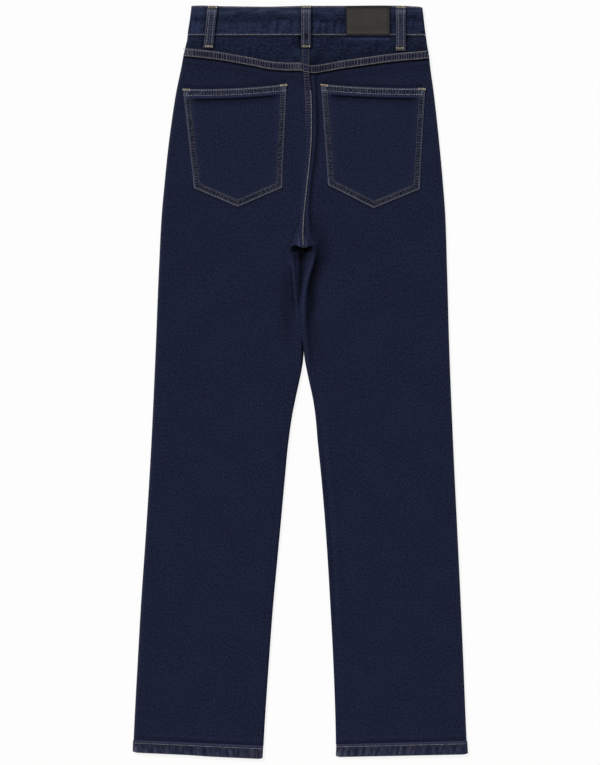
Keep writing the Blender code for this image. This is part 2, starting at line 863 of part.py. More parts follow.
def main():
    clear_scene()
    parts = bpy.data.collections.new("Straight leg jeans")
    bpy.context.scene.collection.children.link(parts)
    denim = material("denim", (0.0116, 0.0160, 0.0362), 0.92)
    sewn = material("denim_sewn", (0.0137, 0.0185, 0.0407), 0.92)
    hem = material("denim_hem", (0.0270, 0.0284, 0.0482), 0.92)
    leather = material("leather", (0.0423, 0.0382, 0.0356), 0.6)
    metal = material("button_metal", (0.30, 0.22, 0.13), 0.35, 1.0)
    for side in (LEFT, RIGHT):
        make_back(side, denim, parts)
        make_yoke(side, denim, parts)
        make_front(side, denim, parts)
        make_facing(side, denim, parts)
        make_patch(side, sewn, parts)
        make_yoke_lap(side, sewn, parts)
        make_hem(side, hem, parts)
    make_seat_lap(sewn, parts)
    make_band(sewn, parts)
    make_shield(denim, parts)
    for loop in BACK_LOOPS:
        make_back_loop(loop, sewn, parts)
    for loop in FRONT_LOOPS:
        make_front_loop(loop, sewn, parts)
    make_label(leather, parts)
    make_button(metal, parts)


main()
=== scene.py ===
# The looks of the straight leg jeans, which lie flat on their front with the back up.
# Lengths are millimetres until a mesh is made. A drop is a distance down the garment from the
# waist, a side is -1 for the leg at -X and 1 for the leg at +X, and a height is that of the
# middle of the cloth above the surface it lies on.
import math

import bpy
import numpy as np
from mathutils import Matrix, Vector


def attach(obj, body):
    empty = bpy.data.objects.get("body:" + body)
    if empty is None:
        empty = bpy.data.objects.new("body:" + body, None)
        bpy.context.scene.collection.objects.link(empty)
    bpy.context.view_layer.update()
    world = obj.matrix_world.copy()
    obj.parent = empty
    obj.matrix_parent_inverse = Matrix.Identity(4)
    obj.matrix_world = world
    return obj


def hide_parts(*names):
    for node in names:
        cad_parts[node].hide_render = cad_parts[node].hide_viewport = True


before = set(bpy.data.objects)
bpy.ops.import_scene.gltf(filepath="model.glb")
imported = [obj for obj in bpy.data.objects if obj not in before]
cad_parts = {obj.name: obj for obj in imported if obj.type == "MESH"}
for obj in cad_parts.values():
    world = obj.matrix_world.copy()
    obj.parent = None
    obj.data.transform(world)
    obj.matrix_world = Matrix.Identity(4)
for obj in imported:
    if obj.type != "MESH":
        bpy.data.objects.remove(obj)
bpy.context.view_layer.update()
print("frame loaded, nodes:", len(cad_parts))

mm = 0.001
left, right = -1, 1
sideNames = {left: "left", right: "right"}

# The cloth and how it is laid, as in the solids
garment = {
    "waistY": 540.6,
    "cloth": 1.2,
    "band": 2.0,
    "turnUp": 2.2,
    "loop": 1.7,
    "facing": 1.0,
    "leather": 1.2,
    "gap": 0.3,
    "rolledGap": 0.6,
    "bandTop": -1.0,
    "bandDrop": 42.6,
    "frontDip": 8.0,
    "halfWaist": 160.0,
    "centreX": 8.6,
    "crotchDrop": 351.0,
    "legBack": 5.0,
    "legFront": 0.85,  # a little clear of the floor, for the thread under it
    "hemBack": 4.9,
    "bandFront": 3.0,
    "underlap": 5.3,
    "waistRise": 1.2,
    "centreRise": 2.2,
    "centreSpread": 75.0,
    "roll": 5.0,
    "waistRoll": 3.0,
    "lip": 4.0,
}


def mix(start, end, share):
    return start + (end - start) * share


def ease(value, start, end):
    t = np.clip((value - start) / (end - start), 0.0, 1.0)
    return t * t * (3 - 2 * t)


def fade(value, start, end):
    return 1 - ease(value, start, end)


def window(value, start, full, ebb, end):  # rises from start to full, falls from ebb to end
    return ease(value, start, full) * fade(value, ebb, end)


def bell(distance, spread):
    return np.exp(-((distance / spread) ** 2))


def quarter(share):
    return np.sqrt(1 - (1 - np.clip(share, 0.0, 1.0)) ** 2)


def steps(start, end, size):
    return np.linspace(start, end, max(2, round(abs(end - start) / size) + 1))


def curve(at, values):  # a smooth curve through a table's places
    at, values = np.array(at, float), np.array(values, float)
    slopes = np.gradient(values, at)

    def read(where):
        where = np.clip(where, at[0], at[-1])
        k = np.clip(np.searchsorted(at, where, side="right") - 1, 0, len(at) - 2)
        step = at[k + 1] - at[k]
        t = (where - at[k]) / step
        ends = values[k] + (values[k + 1] - values[k]) * t * t * (3 - 2 * t)
        return ends + t * (1 - t) * step * ((1 - t) * slopes[k] - t * slopes[k + 1])

    return read


def curvesOf(table):  # a curve for each column, read by the first one
    at, *columns = table.values()
    return {name: curve(at, values) for name, values in zip(list(table)[1:], columns)}


def ripples(x, y, size, seed):  # uneven soft waves about this size, from -1 to 1
    random = np.random.default_rng(seed)
    total = 0.0
    for _ in range(6):
        turn, phase = random.uniform(0, 2 * math.pi, 2)
        length = size * random.uniform(0.7, 1.6)
        total += np.sin((x * math.cos(turn) + y * math.sin(turn)) * 2 * math.pi / length + phase)
    return total / 4


def waves(run, size, seed):  # uneven waves along a seam, from -1 to 1
    random = np.random.default_rng(seed)
    total = 0.0
    for _ in range(5):
        length = size * random.uniform(0.65, 1.7)
        total += np.sin(run * 2 * math.pi / length + random.uniform(0, 2 * math.pi))
    return total / 3


# Where the seams run, in drops and in x from the middle
sideFace = curvesOf({
    "drop": (
        *(-2, 20, 42, 48, 57, 72, 86, 121, 164, 207, 250, 294, 380, 496, 654, 769, 860, 942, 1050),
        *(1083,),
    ),
    left: (
        *(-156.4, -159.0, -162.2, -162.7, -164.8, -168.2, -170.7, -178.0, -184.8, -190.4, -194.8),
        *(-198.9, -203.5, -208.2, -215.7, -222.9, -229.2, -233.9, -239.6, -240.9),
    ),
    right: (
        *(175.8, 178.0, 180.7, 181.6, 182.9, 185.5, 187.0, 191.8, 196.8, 201.2, 205.1, 208.5),
        *(211.5, 214.8, 221.3, 226.9, 231.2, 234.8, 239.3, 240.9),
    ),
})
seatLine, lapWidth = curvesOf({
    "drop": (0, 62, 76, 89, 99, 108, 116, 126, 140, 161, 193, 229, 265, 298, 332, 351),
    "x": (8.6, 7.9, 8.0, 8.5, 9.0, 9.5, 10.4, 11.4, 12.0, 12.3, 12.0, 9.5, 6.2, 3.2, 2.0, 2.9),
    "width": (11.2, 11.2, 11.0, 10.0, 9.2, 9.0, 9.5, 10.1, 10.2, 10.2, 9.8, 9.0, 8.0, 7.0, 6.2, 6.0),
}).values()
legFace = curvesOf({
    "drop": (
        *(351, 380, 403, 429, 455, 481, 496, 510, 525, 539, 568, 589, 626, 683, 741, 799),
        *(856, 943, 1051, 1083),
    ),
    left: (
        *(2.75, 2.5, 1.0, -0.4, 1.2, 3.4, 4.3, 3.9, 1.6, -1.3, -7.6, -11.7, -17.0, -22.6),
        *(-27.9, -33.3, -38.6, -45.2, -52.3, -54.0),
    ),
    right: (
        *(3.05, 2.8, 1.3, -0.1, 1.5, 3.9, 5.5, 7.0, 9.8, 12.8, 19.0, 22.0, 25.3, 31.0),
        *(35.9, 39.9, 43.2, 47.8, 51.4, 51.8),
    ),
})
(yokeFall,) = curvesOf({
    "away": (0, 20, 45, 85, 130, 190),
    "fall": (90.3, 89.3, 86.6, 80.2, 73.6, 67.0),
}).values()
(yokeStray,) = curvesOf({  # how far the sewn seam strays from that curve, downwards
    "x": (-166, -127, -108, -87, -65, -44, -22, 3, 15, 36, 57, 79, 101, 122, 144, 166, 178),
    "sway": (
        *(-1.9, -2.1, -1.9, -1.3, -0.8, 0.0, -0.9, -1.9, 1.1, 0.3, -1.0, -0.7, -0.2, 0.0, 0.5),
        *(1.3, 1.4),
    ),
}).values()


# Where the panels' edges run


def outerEdge(side, drop):
    return sideFace[side](drop) - side * garment["cloth"] / 2


def legsMeet(side, drop):  # the legs' faces, which touch where the solids are only a gap apart
    middle = (legFace[left](drop) + legFace[right](drop)) / 2
    apart = np.maximum(np.abs(legFace[side](drop) - middle) - garment["gap"], 0.0)
    return middle + side * apart * ease(drop, 494, 510)


def between(drop, start, end):  # 1 between two drops, 0 well outside them
    return window(drop, start - 4, start, end, end + 30)


def innerEdge(side, drop):
    crotchDrop = garment["crotchDrop"]
    face = np.where(drop < crotchDrop, seatLine(drop), legsMeet(side, drop))
    rolled = ease(drop, crotchDrop - 14, crotchDrop - 3) - 0.9 * between(drop, crotchDrop, 468)
    return face + side * rolled * garment["cloth"] / 2


def frontInner(side, drop):  # the fronts lie flat between the thighs, edge to edge
    crotchDrop = garment["crotchDrop"]
    edge = np.where(drop < crotchDrop, seatLine(drop), legsMeet(side, drop))
    return mix(innerEdge(side, drop), edge - side * 0.05, between(drop, crotchDrop - 15, 495))


def yokeDrop(x):
    return yokeFall(np.abs(x - garment["centreX"])) + yokeStray(x)


def frontDip(x):
    return garment["frontDip"] * np.maximum(0.0, 1 - (x / garment["halfWaist"]) ** 2)


def frontTop(x):
    return garment["bandDrop"] + frontDip(x) + 1.5 * garment["gap"]


# The folds at the crotch: the seat seam is pulled up into a tent, whose lip overhangs the
# hollow between the thighs, and a ridge runs down each inner thigh from the lip's end
crotch = {
    "lipKey": 345.0,
    "lipEnds": (-12.7, 22.3),
    "foldLength": 12.0,
    "undercut": 7.5,
    "tentHeight": 4.6,
    "tentRises": (292.0, 345.0),
    "lowJoint": 0.9,
}
(lipDrop,) = curvesOf({
    "x": (-16, -12.7, -8, 4, 15, 20, 24),
    "drop": (348, 346.6, 344.6, 347.6, 345.2, 343.4, 343),
}).values()
tentEdge = curvesOf({
    "drop": (296, 311, 328, 341, 347),
    left: (1.0, 2.2, 8, 14, 16.5),
    right: (6, 9, 13.4, 19.6, 20),
})
ridgeDrops = (351, 368, 389, 408, 428, 460, 500, 1083)
ridgeAway = curvesOf({
    "drop": ridgeDrops,
    left: (14.0, 13.2, 10.6, 7.6, 4.6, 4.6, 5.0, 5.0),
    right: (17.0, 14.8, 8.8, 6.2, 5.4, 4.4, 5.0, 5.0),
})
ridgeHeight = curvesOf({
    "drop": ridgeDrops,
    left: (1.9, 2.0, 1.8, 1.4, 0.7, 0.2, 0.0, 0.0),
    right: (2.8, 3.3, 3.4, 3.3, 3.0, 2.4, 1.1, 0.0),
})
troughDepth = curvesOf({
    "drop": ridgeDrops,
    left: (0.8, 1.0, 0.9, 0.6, 0.3, 0.1, 0.0, 0.0),
    right: (1.0, 1.5, 1.7, 1.7, 1.5, 1.2, 0.6, 0.0),
})
# The fold beside the seat seam, which falls away sharply on its right
seatFoldX, seatFoldSize = curvesOf({
    "drop": (92, 105, 140, 178, 207, 236, 257, 280, 298, 325, 345),
    "x": (21, 22, 23.3, 24, 22.2, 18.6, 15.8, 14.1, 13.2, 15, 18),
    "size": (0.0, 1.5, 2.0, 2.1, 2.1, 2.0, 1.9, 1.8, 1.5, 1.0, 0.0),
}).values()
# Painted shade on the cloth to the right of the fold, the tent and the ridge
duskX, duskSize, duskWidth = curvesOf({
    "drop": (290, 316, 328, 340, 352, 362, 374, 386, 397, 409, 432, 443, 455, 467, 480, 500, 540),
    "x": (15, 16.0, 19.5, 22.5, 24, 22.5, 19, 16, 13.2, 11.4, 11.2, 9.4, 9.2, 10.6, 11, 12, 15),
    "size": (
        *(0, 0.26, 0.34, 0.44, 0.5, 0.66, 0.78, 0.85, 0.86, 0.83, 0.74, 0.62, 0.48, 0.38, 0.3),
        *(0.2, 0),
    ),
    "width": (32, 32, 32, 30, 28, 25, 22, 20, 19, 18, 17, 17, 19, 22, 24, 25, 25),
}).values()


def lipShare(x):  # 1 where the tent's lip overhangs the hollow, 0 past its ends
    start, end = crotch["lipEnds"]
    return window(x, start - 4, start + 5, end - 6.5, end + 2.5)


def openShare(key):  # 0 where the two halves are sewn together, 1 below the crotch
    start = crotch["lipKey"] + 0.05 * crotch["foldLength"]
    return ease(key, start, start + 0.4 * crotch["foldLength"])


def foldShift(key, x):  # how far a row moves down where the cloth folds under the lip
    past = np.clip((key - crotch["lipKey"]) / crotch["foldLength"], 0, 1)
    bend = (lipDrop(x) - crotch["lipKey"]) * bell(key - crotch["lipKey"], 16)
    return bend - lipShare(x) * crotch["undercut"] * np.sin(math.pi * past)


# Main creases: each one's start and end, as x and drop, its depth and half width
backCreases = (
    (140, 300, 190, 330, 0.35, 14),
    (-130, 330, -185, 352, 0.4, 13),
    (34, 352, 120, 372, 0.4, 12),
    (-60, 360, -150, 395, 0.35, 16),
    (120, 430, 200, 470, 0.3, 18),
    (-165, 600, -110, 640, 0.3, 20),
    (60, 620, 110, 668, 0.3, 20),
)
frontCreases = (
    (24, 300, 120, 262, 0.5, 9),
    (-8, 305, -105, 270, 0.45, 8),
    (30, 330, 150, 318, 0.4, 10),
    (-14, 335, -130, 322, 0.4, 9),
    (60, 480, 170, 500, 0.3, 16),
    (-60, 520, -180, 545, 0.3, 16),
)


def creased(x, drop, creases):
    total = 0.0
    for startX, startDrop, endX, endDrop, depth, spread in creases:
        length = math.dist((startX, startDrop), (endX, endDrop))
        alongX, alongDrop = (endX - startX) / length, (endDrop - startDrop) / length
        share = ((x - startX) * alongX + (drop - startDrop) * alongDrop) / length
        off = (x - startX) * alongDrop - (drop - startDrop) * alongX
        total = total + depth * window(share, -0.12, 0.2, 0.8, 1.12) * bell(off, spread)
    return total


# Heights of the middle of the cloth


def backLevel(x, drop):
    rise = 1 - ease(drop, garment["bandDrop"], 120.0)
    waist = rise * (
        garment["waistRise"]
        + garment["centreRise"] * bell(x - garment["centreX"], garment["centreSpread"])
    )
    mound = 1.2 * bell(x - 3.0, 45.0) * bell(drop - 336.0, 50.0)
    return garment["legBack"] + waist + mound


def frontLevel(x, drop):
    belowBand = drop - garment["bandDrop"] - frontDip(x)
    return mix(garment["bandFront"], garment["legFront"], ease(belowBand, 22.0, 82.0))


def jointLevel(x, drop):  # where front and back meet along a rolled edge
    low = crotch["lowJoint"] * window(drop, 336, 350, 470, 520)
    return (backLevel(x, drop) + frontLevel(x, drop)) / 2 - low * bell(x - 3, 45)


def tent(side, away, drop, opened):
    edge = tentEdge[side](drop)
    height = crotch["tentHeight"] * ease(drop, *crotch["tentRises"]) * (1 - opened)
    slope = 1 - np.clip(away / edge, 0, 1)
    return height * (slope - 0.18 * bell(away - edge - 1, 2.2))


def besideSeat(x, drop):
    past = x - seatFoldX(drop)
    return -seatFoldSize(drop) * np.tanh(past / 2.4) * np.exp(-np.abs(past) / 8)


def thighFolds(side, away, drop):
    grow = ease(drop, 338.0, 353.0)
    past = away - ridgeAway[side](drop) - garment["cloth"] / 2
    up = ridgeHeight[side](drop) * bell(past, np.where(past < 0, 3.4, 4.4))
    down = troughDepth[side](drop) * bell(past - 7, 4.4)
    return grow * (up - down)


def thighRoll(side, away, drop):  # from 0 in the cleft between the legs to 1 on the ridge
    share = np.clip(away / ridgeAway[side](drop), 0, 1)
    valley = 0.45 * share + 0.55 * ease(share, 0, 1)
    roll = mix(valley, quarter(share), ease(drop, 440, 480))
    pressed = window(drop, 424, 441, 468, 494)  # no cleft where the legs press
    return mix(roll, 1.0, pressed)


def backHeight(side, x, drop, opened=None):
    if opened is None:
        opened = openShare(drop)
    away = np.abs(x - innerEdge(side, drop))
    soft = 0.22 * ripples(x, drop, 90, 3) + 0.12 * ripples(x, drop, 38, 4)
    creases = creased(x, drop, backCreases)
    hemDip = 0.7 * ease(drop, hemTop(side, x) - 7, hemTop(side, x) - 1)
    top = backLevel(x, drop) + tent(side, away, drop, opened) + thighFolds(side, away, drop)
    top += besideSeat(x, drop) + soft * ease(drop, 60, 120) - creases - hemDip
    low = jointLevel(x, drop) + garment["rolledGap"] / 2
    inner = 1 - opened * (1 - thighRoll(side, away, drop))
    top = mix(low, top, inner)
    roll = mix(garment["waistRoll"], garment["roll"], ease(drop, garment["bandDrop"], 150.0))
    return mix(low, top, quarter(np.abs(x - outerEdge(side, drop)) / roll))


def frontHeight(side, x, drop):
    level = frontLevel(x, drop) + creased(x, drop, frontCreases)
    raised = jointLevel(x, drop) - garment["rolledGap"] / 2
    fromSide = np.abs(x - outerEdge(side, drop))
    fromInseam = np.abs(x - innerEdge(side, drop))
    atSide = ease(drop, 148, 160) * (1 - quarter(fromSide / garment["lip"]))
    atInseam = ease(drop, 495, 525) * (1 - quarter(fromInseam / garment["lip"]))
    return mix(level, raised, np.maximum(atSide, atInseam))


def backTop(x, drop):  # the upper face of the back, whichever half x is on
    onLeft = x < seatLine(drop)
    middle = np.where(onLeft, backHeight(left, x, drop), backHeight(right, x, drop))
    return middle + garment["cloth"] / 2


# The hems' upper edges and feet: straight lines from the side seam to the inseam
hem = {
    "width": 188,
    "depth": 18.0,
    "topDrops": {left: (1056.6, 1064.8), right: (1057.8, 1062.6)},
    "footDrops": {left: (1074.5, 1083.1), right: (1077.2, 1081.0)},
    "footSwell": {left: 0.85, right: 0.0},
    "flare": {left: (0.9, 0.0), right: (1.0, 0.6)},
    "ends": {left: (-240.0, -54.0), right: (240.0, 52.0)},
    "bends": (980.0, 1060.0),
    "stitchDrop": {left: 4.1, right: 3.7},
    "tuck": 0.05,
    "pucker": 0.42,
    "puckerSize": 9.0,
    "slant": {left: 0.10, right: 0.30},
}


def hemLine(side, x, drops):
    start, end = hem["ends"][side]
    return mix(drops[0], drops[1], (x - start) / (end - start))


def hemTop(side, x):
    return hemLine(side, x, hem["topDrops"][side])


# Shader and geometry nodes


class Signal:  # a number that varies, whose sums and products add Math nodes
    def __init__(self, nodes, socket):
        self.nodes, self.socket = nodes, socket

    def worked(self, operation, first, second):
        return self.nodes.signal("ShaderNodeMath", {"operation": operation}, {0: first, 1: second})

    def __add__(self, other):
        return self.worked("ADD", self, other)

    def __sub__(self, other):
        return self.worked("SUBTRACT", self, other)

    def __rsub__(self, other):
        return self.worked("SUBTRACT", other, self)

    def __mul__(self, other):
        return self.worked("MULTIPLY", self, other)

    __radd__ = __add__
    __rmul__ = __mul__


class NodeSet:  # adds nodes to a tree: first a node's settings, then its values and links
    def __init__(self, tree):
        self.tree = tree

    def put(self, value, socket):
        if isinstance(value, Signal):
            value = value.socket
        if isinstance(value, bpy.types.NodeSocket):
            self.tree.links.new(value, socket)
        else:
            socket.default_value = value

    def add(self, kind, settings=None, values=None):
        node = self.tree.nodes.new(kind)
        for name, value in (settings or {}).items():
            if name == "stops":
                self.setStops(node.color_ramp, value)
            else:
                setattr(node, name, value)
        for name, value in (values or {}).items():
            self.put(value, node.inputs[name])
        return node

    def setStops(self, ramp, stops):  # each stop's place and how light it is
        for element, (place, level) in zip(ramp.elements, stops):
            element.position = place
            element.color = (level, level, level, 1.0)

    def signal(self, kind, settings=None, values=None, output=0):
        return Signal(self, self.add(kind, settings, values).outputs[output])

    def mixColours(self, factor, first, second, kind="MIX"):
        settings = {"data_type": "RGBA", "blend_type": kind, "clamp_factor": True}
        return self.add("ShaderNodeMix", settings, {0: factor, 6: first, 7: second}).outputs[2]

    def attribute(self, name, output="Fac"):
        return self.add("ShaderNodeAttribute", {"attribute_name": name}).outputs[output]

    def noise(self, where, scale, detail=2.0, roughness=0.5):
        values = {"Vector": where, "Scale": scale, "Detail": detail, "Roughness": roughness}
        return self.signal("ShaderNodeTexNoise", {"noise_dimensions": "3D"}, values)

    def stretched(self, where, scale):
        return self.add("ShaderNodeMapping", {}, {"Vector": where, "Scale": scale}).outputs[0]

    def sine(self, phase):
        return self.signal("ShaderNodeMath", {"operation": "SINE"}, {0: phase})

    def parted(self, vector):
        split = self.add("ShaderNodeSeparateXYZ", {}, {0: vector})
        return (Signal(self, part) for part in split.outputs)

    def ramp(self, value, *stops):
        return self.signal("ShaderNodeValToRGB", {"stops": stops}, {"Fac": value})

    def bump(self, height, strength, distance):
        values = {"Strength": strength, "Distance": distance, "Height": height}
        return self.add("ShaderNodeBump", {}, values).outputs[0]


def newFinish(name, fixed):  # the finish, its nodes, and what feeds its shader
    finish = bpy.data.materials.new(name)
    finish.use_nodes = True
    nodes = NodeSet(finish.node_tree)
    sockets = finish.node_tree.nodes["Principled BSDF"].inputs

    def feed(values):
        for socket, value in values.items():
            nodes.put(value, sockets[socket])

    feed(fixed)
    return finish, nodes, feed


denimLook = {
    "deep": (0.0037, 0.0052, 0.0150, 1),  # colours are linear
    "pale": (0.0325, 0.0412, 0.0965, 1),
    # worn is also the colour of painted highlights, and painted shade darkens towards dark
    "worn": (0.172, 0.168, 0.200, 1),
    "dark": (0.05, 0.05, 0.06, 1),
    "tone": 0.225,
    "twillPitch": 1.05,  # mm between the diagonal ribs
    "twillTurn": 62.0,  # degrees from the weft
    "ladderPitch": 3.7,
    "ladderDepth": 0.36,
    "ladderRub": 0.26,
    "ladderShare": 0.42,
    "ladderBreak": 1.5,
    "grain": 0.40,  # noise scale, in 1/mm
}
clothMarks = ("wear", "pucker", "shade", "wash")  # what each point of a piece of cloth says
clothFeel = {
    "Roughness": 0.86,
    "Specular IOR Level": 0.04,
    "Sheen Weight": 0.02,
    "Sheen Roughness": 0.5,
    "Sheen Tint": (0.45, 0.52, 0.8, 1),
}


def makeDenim(name, look, streaks=0.0, washed=0.0, weave=(1.1, 0.85, 1), speckle=0.78):
    finish, nodes, feed = newFinish(name, clothFeel)
    uv = nodes.add("ShaderNodeUVMap", {"uv_map": "cloth"}).outputs["UV"]
    cloth = nodes.stretched(uv, (1000, 1000, 1000))  # in mm
    seam = nodes.attribute("seam", "Vector")
    wear, pucker, shade, wash = (Signal(nodes, nodes.attribute(mark)) for mark in clothMarks)

    across, down, _ = nodes.parted(cloth)
    turn = math.radians(look["twillTurn"])
    wander = nodes.noise(cloth, 0.25, 1.0)
    phase = (across * math.cos(turn) + down * math.sin(turn)) * (2 * math.pi / look["twillPitch"])
    rib = nodes.sine(phase + wander * 5.0)

    grain = nodes.noise(nodes.stretched(cloth, weave), look["grain"])
    slubs = nodes.noise(nodes.stretched(cloth, (0.55, 0.035, 1)), 1.0, 2.0, 0.6)
    bands = nodes.noise(nodes.stretched(cloth, (0.03, 0.30, 1)), 1.0, 2.0, 0.6)
    patches = nodes.noise(cloth, 0.018)
    # the tone mark pales or darkens the cloth, partly as painted light and painted shade
    tone = look["tone"] + washed + wash + rib * 0.036 + (grain - 0.5) * speckle
    tone = tone + (slubs - 0.5) * 0.14 + (bands - 0.5) * (0.055 + streaks) + (patches - 0.5) * 0.09

    run, _, _ = nodes.parted(seam)
    drift = nodes.noise(nodes.stretched(seam, (0.11, 0.05, 1)), 1.0)
    fades = nodes.noise(nodes.stretched(seam, (0.045, 0.02, 1)), 1.0, 1.0)
    rungs = nodes.sine(run * (2 * math.pi / look["ladderPitch"]) + drift * 11.0)
    rub = nodes.noise(nodes.stretched(seam, (0.35, 0.6, 1)), 1.0, 2.0, 0.7)
    broken = rungs * look["ladderShare"] + 0.5 + (rub - 0.5) * look["ladderBreak"]
    rung = nodes.ramp(broken, (0.30, 0.0), (0.85, 1.0))
    strength = nodes.ramp(fades, (0.34, 0.45), (0.60, 1.0))
    tone = tone + pucker * strength * (rung - 0.45) * look["ladderDepth"]
    base = nodes.mixColours(tone, look["deep"], look["pale"])

    # the wear mark mixes in the worn colour, which also paints highlights; the shade mark paints shade,
    # darkening towards dark
    rubbed = wear * (0.3 + rub * 1.4) + pucker * strength * rung * look["ladderRub"]
    base = nodes.mixColours(rubbed, base, look["worn"])
    dimmed = nodes.mixColours(shade, (1, 1, 1, 1), look["dark"])
    feed({"Base Color": nodes.mixColours(1.0, base, dimmed, "MULTIPLY")})
    feed({"Normal": nodes.bump(rib * 0.35 + grain * 0.9 + pucker * rung * 1.4, 0.5, 0.0003)})
    return finish


def makeLeather():
    look = {"deep": (0.0125, 0.0112, 0.0104, 1), "pale": (0.0385, 0.0345, 0.0322, 1), "grain": 900.0}
    finish, nodes, feed = newFinish("leather", {"Specular IOR Level": 0.2})
    where = nodes.add("ShaderNodeTexCoord").outputs["Object"]
    cells = nodes.signal("ShaderNodeTexVoronoi", {}, {"Vector": where, "Scale": look["grain"]})
    cloud = nodes.noise(where, 60.0, 4.0)
    shade = Signal(nodes, nodes.attribute("shade"))
    # shade darkens the colour; below 0 it paints a highlight
    tone = 0.18 + cells * 0.5 + cloud * 0.55 - shade * 0.8
    feed({"Base Color": nodes.mixColours(tone, look["deep"], look["pale"])})
    feed({"Roughness": 0.5 + cloud * 0.2, "Normal": nodes.bump(cells, 0.4, 0.0002)})
    return finish


def makeThread(name, deep, pale):
    finish, nodes, feed = newFinish(name, {"Roughness": 0.6, "Specular IOR Level": 0.3})
    where = nodes.add("ShaderNodeTexCoord").outputs["Object"]
    along = nodes.ramp(nodes.noise(where, 240.0), (0.35, 0.0), (0.65, 1.0))
    feed({"Base Color": nodes.mixColours(along, deep, pale)})
    return finish


def makeBrass():
    finish, nodes, feed = newFinish("button_metal", {"Metallic": 1.0})
    where = nodes.add("ShaderNodeTexCoord").outputs["Object"]
    tarnish = nodes.noise(where, 350.0, 4.0, 0.6)
    base = nodes.mixColours(tarnish, (0.42, 0.30, 0.17, 1), (0.20, 0.14, 0.08, 1))
    feed({"Base Color": base, "Roughness": 0.25 + tarnish * 0.3})
    return finish


acrossGrain = (0.5, 1.15, 1)  # the yoke and the band are cut with the grain across
washedLook = {**denimLook, "pale": (0.0315, 0.0440, 0.0985, 1)}
loopLook = {**denimLook, "worn": (0.163, 0.176, 0.218, 1)}
patchLadder = {"ladderShare": 0.26, "ladderBreak": 2.6, "ladderRub": 0.30, "ladderDepth": 0.48}
patchLook = {**loopLook, **patchLadder}
finishes = {
    "denim": makeDenim("denim", denimLook),
    "yoke": makeDenim("denim_yoke", washedLook, streaks=0.18, weave=acrossGrain, speckle=1.0),
    "sewn": makeDenim("denim_sewn", denimLook, washed=0.02),
    "band": makeDenim("denim_band", washedLook, 0.42, 0.07, acrossGrain, 1.0),
    "hem": makeDenim("denim_hem", denimLook, washed=0.10),
    "loop": makeDenim("denim_loop", loopLook, washed=0.02),
    "patch": makeDenim("denim_patch", patchLook, washed=0.02),
    "leather": makeLeather(),
    "thread": makeThread("thread", (0.10, 0.091, 0.09, 1), (0.25, 0.243, 0.258, 1)),
    "pale": makeThread("thread_pale", (0.165, 0.155, 0.16, 1), (0.35, 0.345, 0.385, 1)),
    "dim": makeThread("thread_dim", (0.045, 0.04, 0.04, 1), (0.13, 0.12, 0.122, 1)),
    "gold": makeThread("thread_gold", (0.66, 0.53, 0.33, 1), (0.98, 0.92, 0.75, 1)),
    "brass": makeBrass(),
}
print("finishes made:", len(finishes))


# Making cloth. A grid is a dictionary of arrays: x, drop and z, and what marks each point:
# wear, which also paints highlights, pucker, and painted shade from 0 to 1, a tone, which pales or
# darkens it and also paints light and shade, and run and inset, the places along and in from a seam.
# Its u and v are measured along the cloth unless they are given


def arcs(points, axis):  # distance along a grid's rows or columns
    step = np.linalg.norm(np.diff(points, axis=axis), axis=2)
    start = np.zeros_like(step[:1] if axis == 0 else step[:, :1])
    return np.concatenate([start, np.cumsum(step, axis=axis)], axis=axis)


def gridFaces(index, closed):  # a face for each cell, and round to the first column if closed
    beside = np.roll(index, -1, axis=1)
    faces = np.stack([index[:-1], index[1:], beside[1:], beside[:-1]], axis=-1)
    return (faces if closed else faces[:, :-1]).reshape(-1, 4)


def shown(name, data):
    piece = bpy.data.objects.new(name, data)
    bpy.context.scene.collection.objects.link(piece)
    return piece


def makeCloth(name, grid, finish, rounded=0.3, thickness=garment["cloth"], closed=False, upFrom=0.0):
    shape = grid["x"].shape
    full = {key: np.broadcast_to(value, shape) for key, value in grid.items()}
    if not closed and full["x"][0, 0] > full["x"][0, -1]:
        full = {key: value[:, ::-1] for key, value in full.items()}
    points = np.stack([full["x"], garment["waistY"] - full["drop"], full["z"]], axis=-1) * mm
    u = arcs(points, 1) if "u" not in full else full["u"] * mm
    v = arcs(points, 0) if "v" not in full else full["v"] * mm

    corners = gridFaces(np.arange(u.size).reshape(shape), closed)
    mesh = bpy.data.meshes.new(name)
    mesh.from_pydata(points.reshape(-1, 3), [], corners.tolist())
    layer = mesh.uv_layers.new(name="cloth")
    flat = np.stack([u.ravel(), -v.ravel()], axis=-1)
    layer.uv.foreach_set("vector", flat[corners.ravel()].astype(np.float32).ravel())
    for mark in clothMarks:
        if mark in full:
            made = mesh.attributes.new(mark, "FLOAT", "POINT")
            made.data.foreach_set("value", full[mark].ravel().astype(np.float32))
    if "run" in full:
        seam = np.stack([full["run"], full["inset"], np.zeros(shape)], axis=-1)
        made = mesh.attributes.new("seam", "FLOAT_VECTOR", "POINT")
        made.data.foreach_set("vector", seam.astype(np.float32).ravel())
    mesh.materials.append(finishes[finish])
    mesh.shade_smooth()
    draft = shown(name + "_draft", mesh)
    solid = draft.modifiers.new("Thickness", "SOLIDIFY")
    solid.thickness = thickness * mm
    solid.offset = upFrom
    solid.use_quality_normals = True
    if rounded:
        edge = draft.modifiers.new("Rounded edges", "BEVEL")
        edge.width = rounded * mm
        edge.segments = 2
        edge.limit_method = "ANGLE"
        edge.angle_limit = math.radians(50)
    return settled(draft, name + "_cloth", 50)


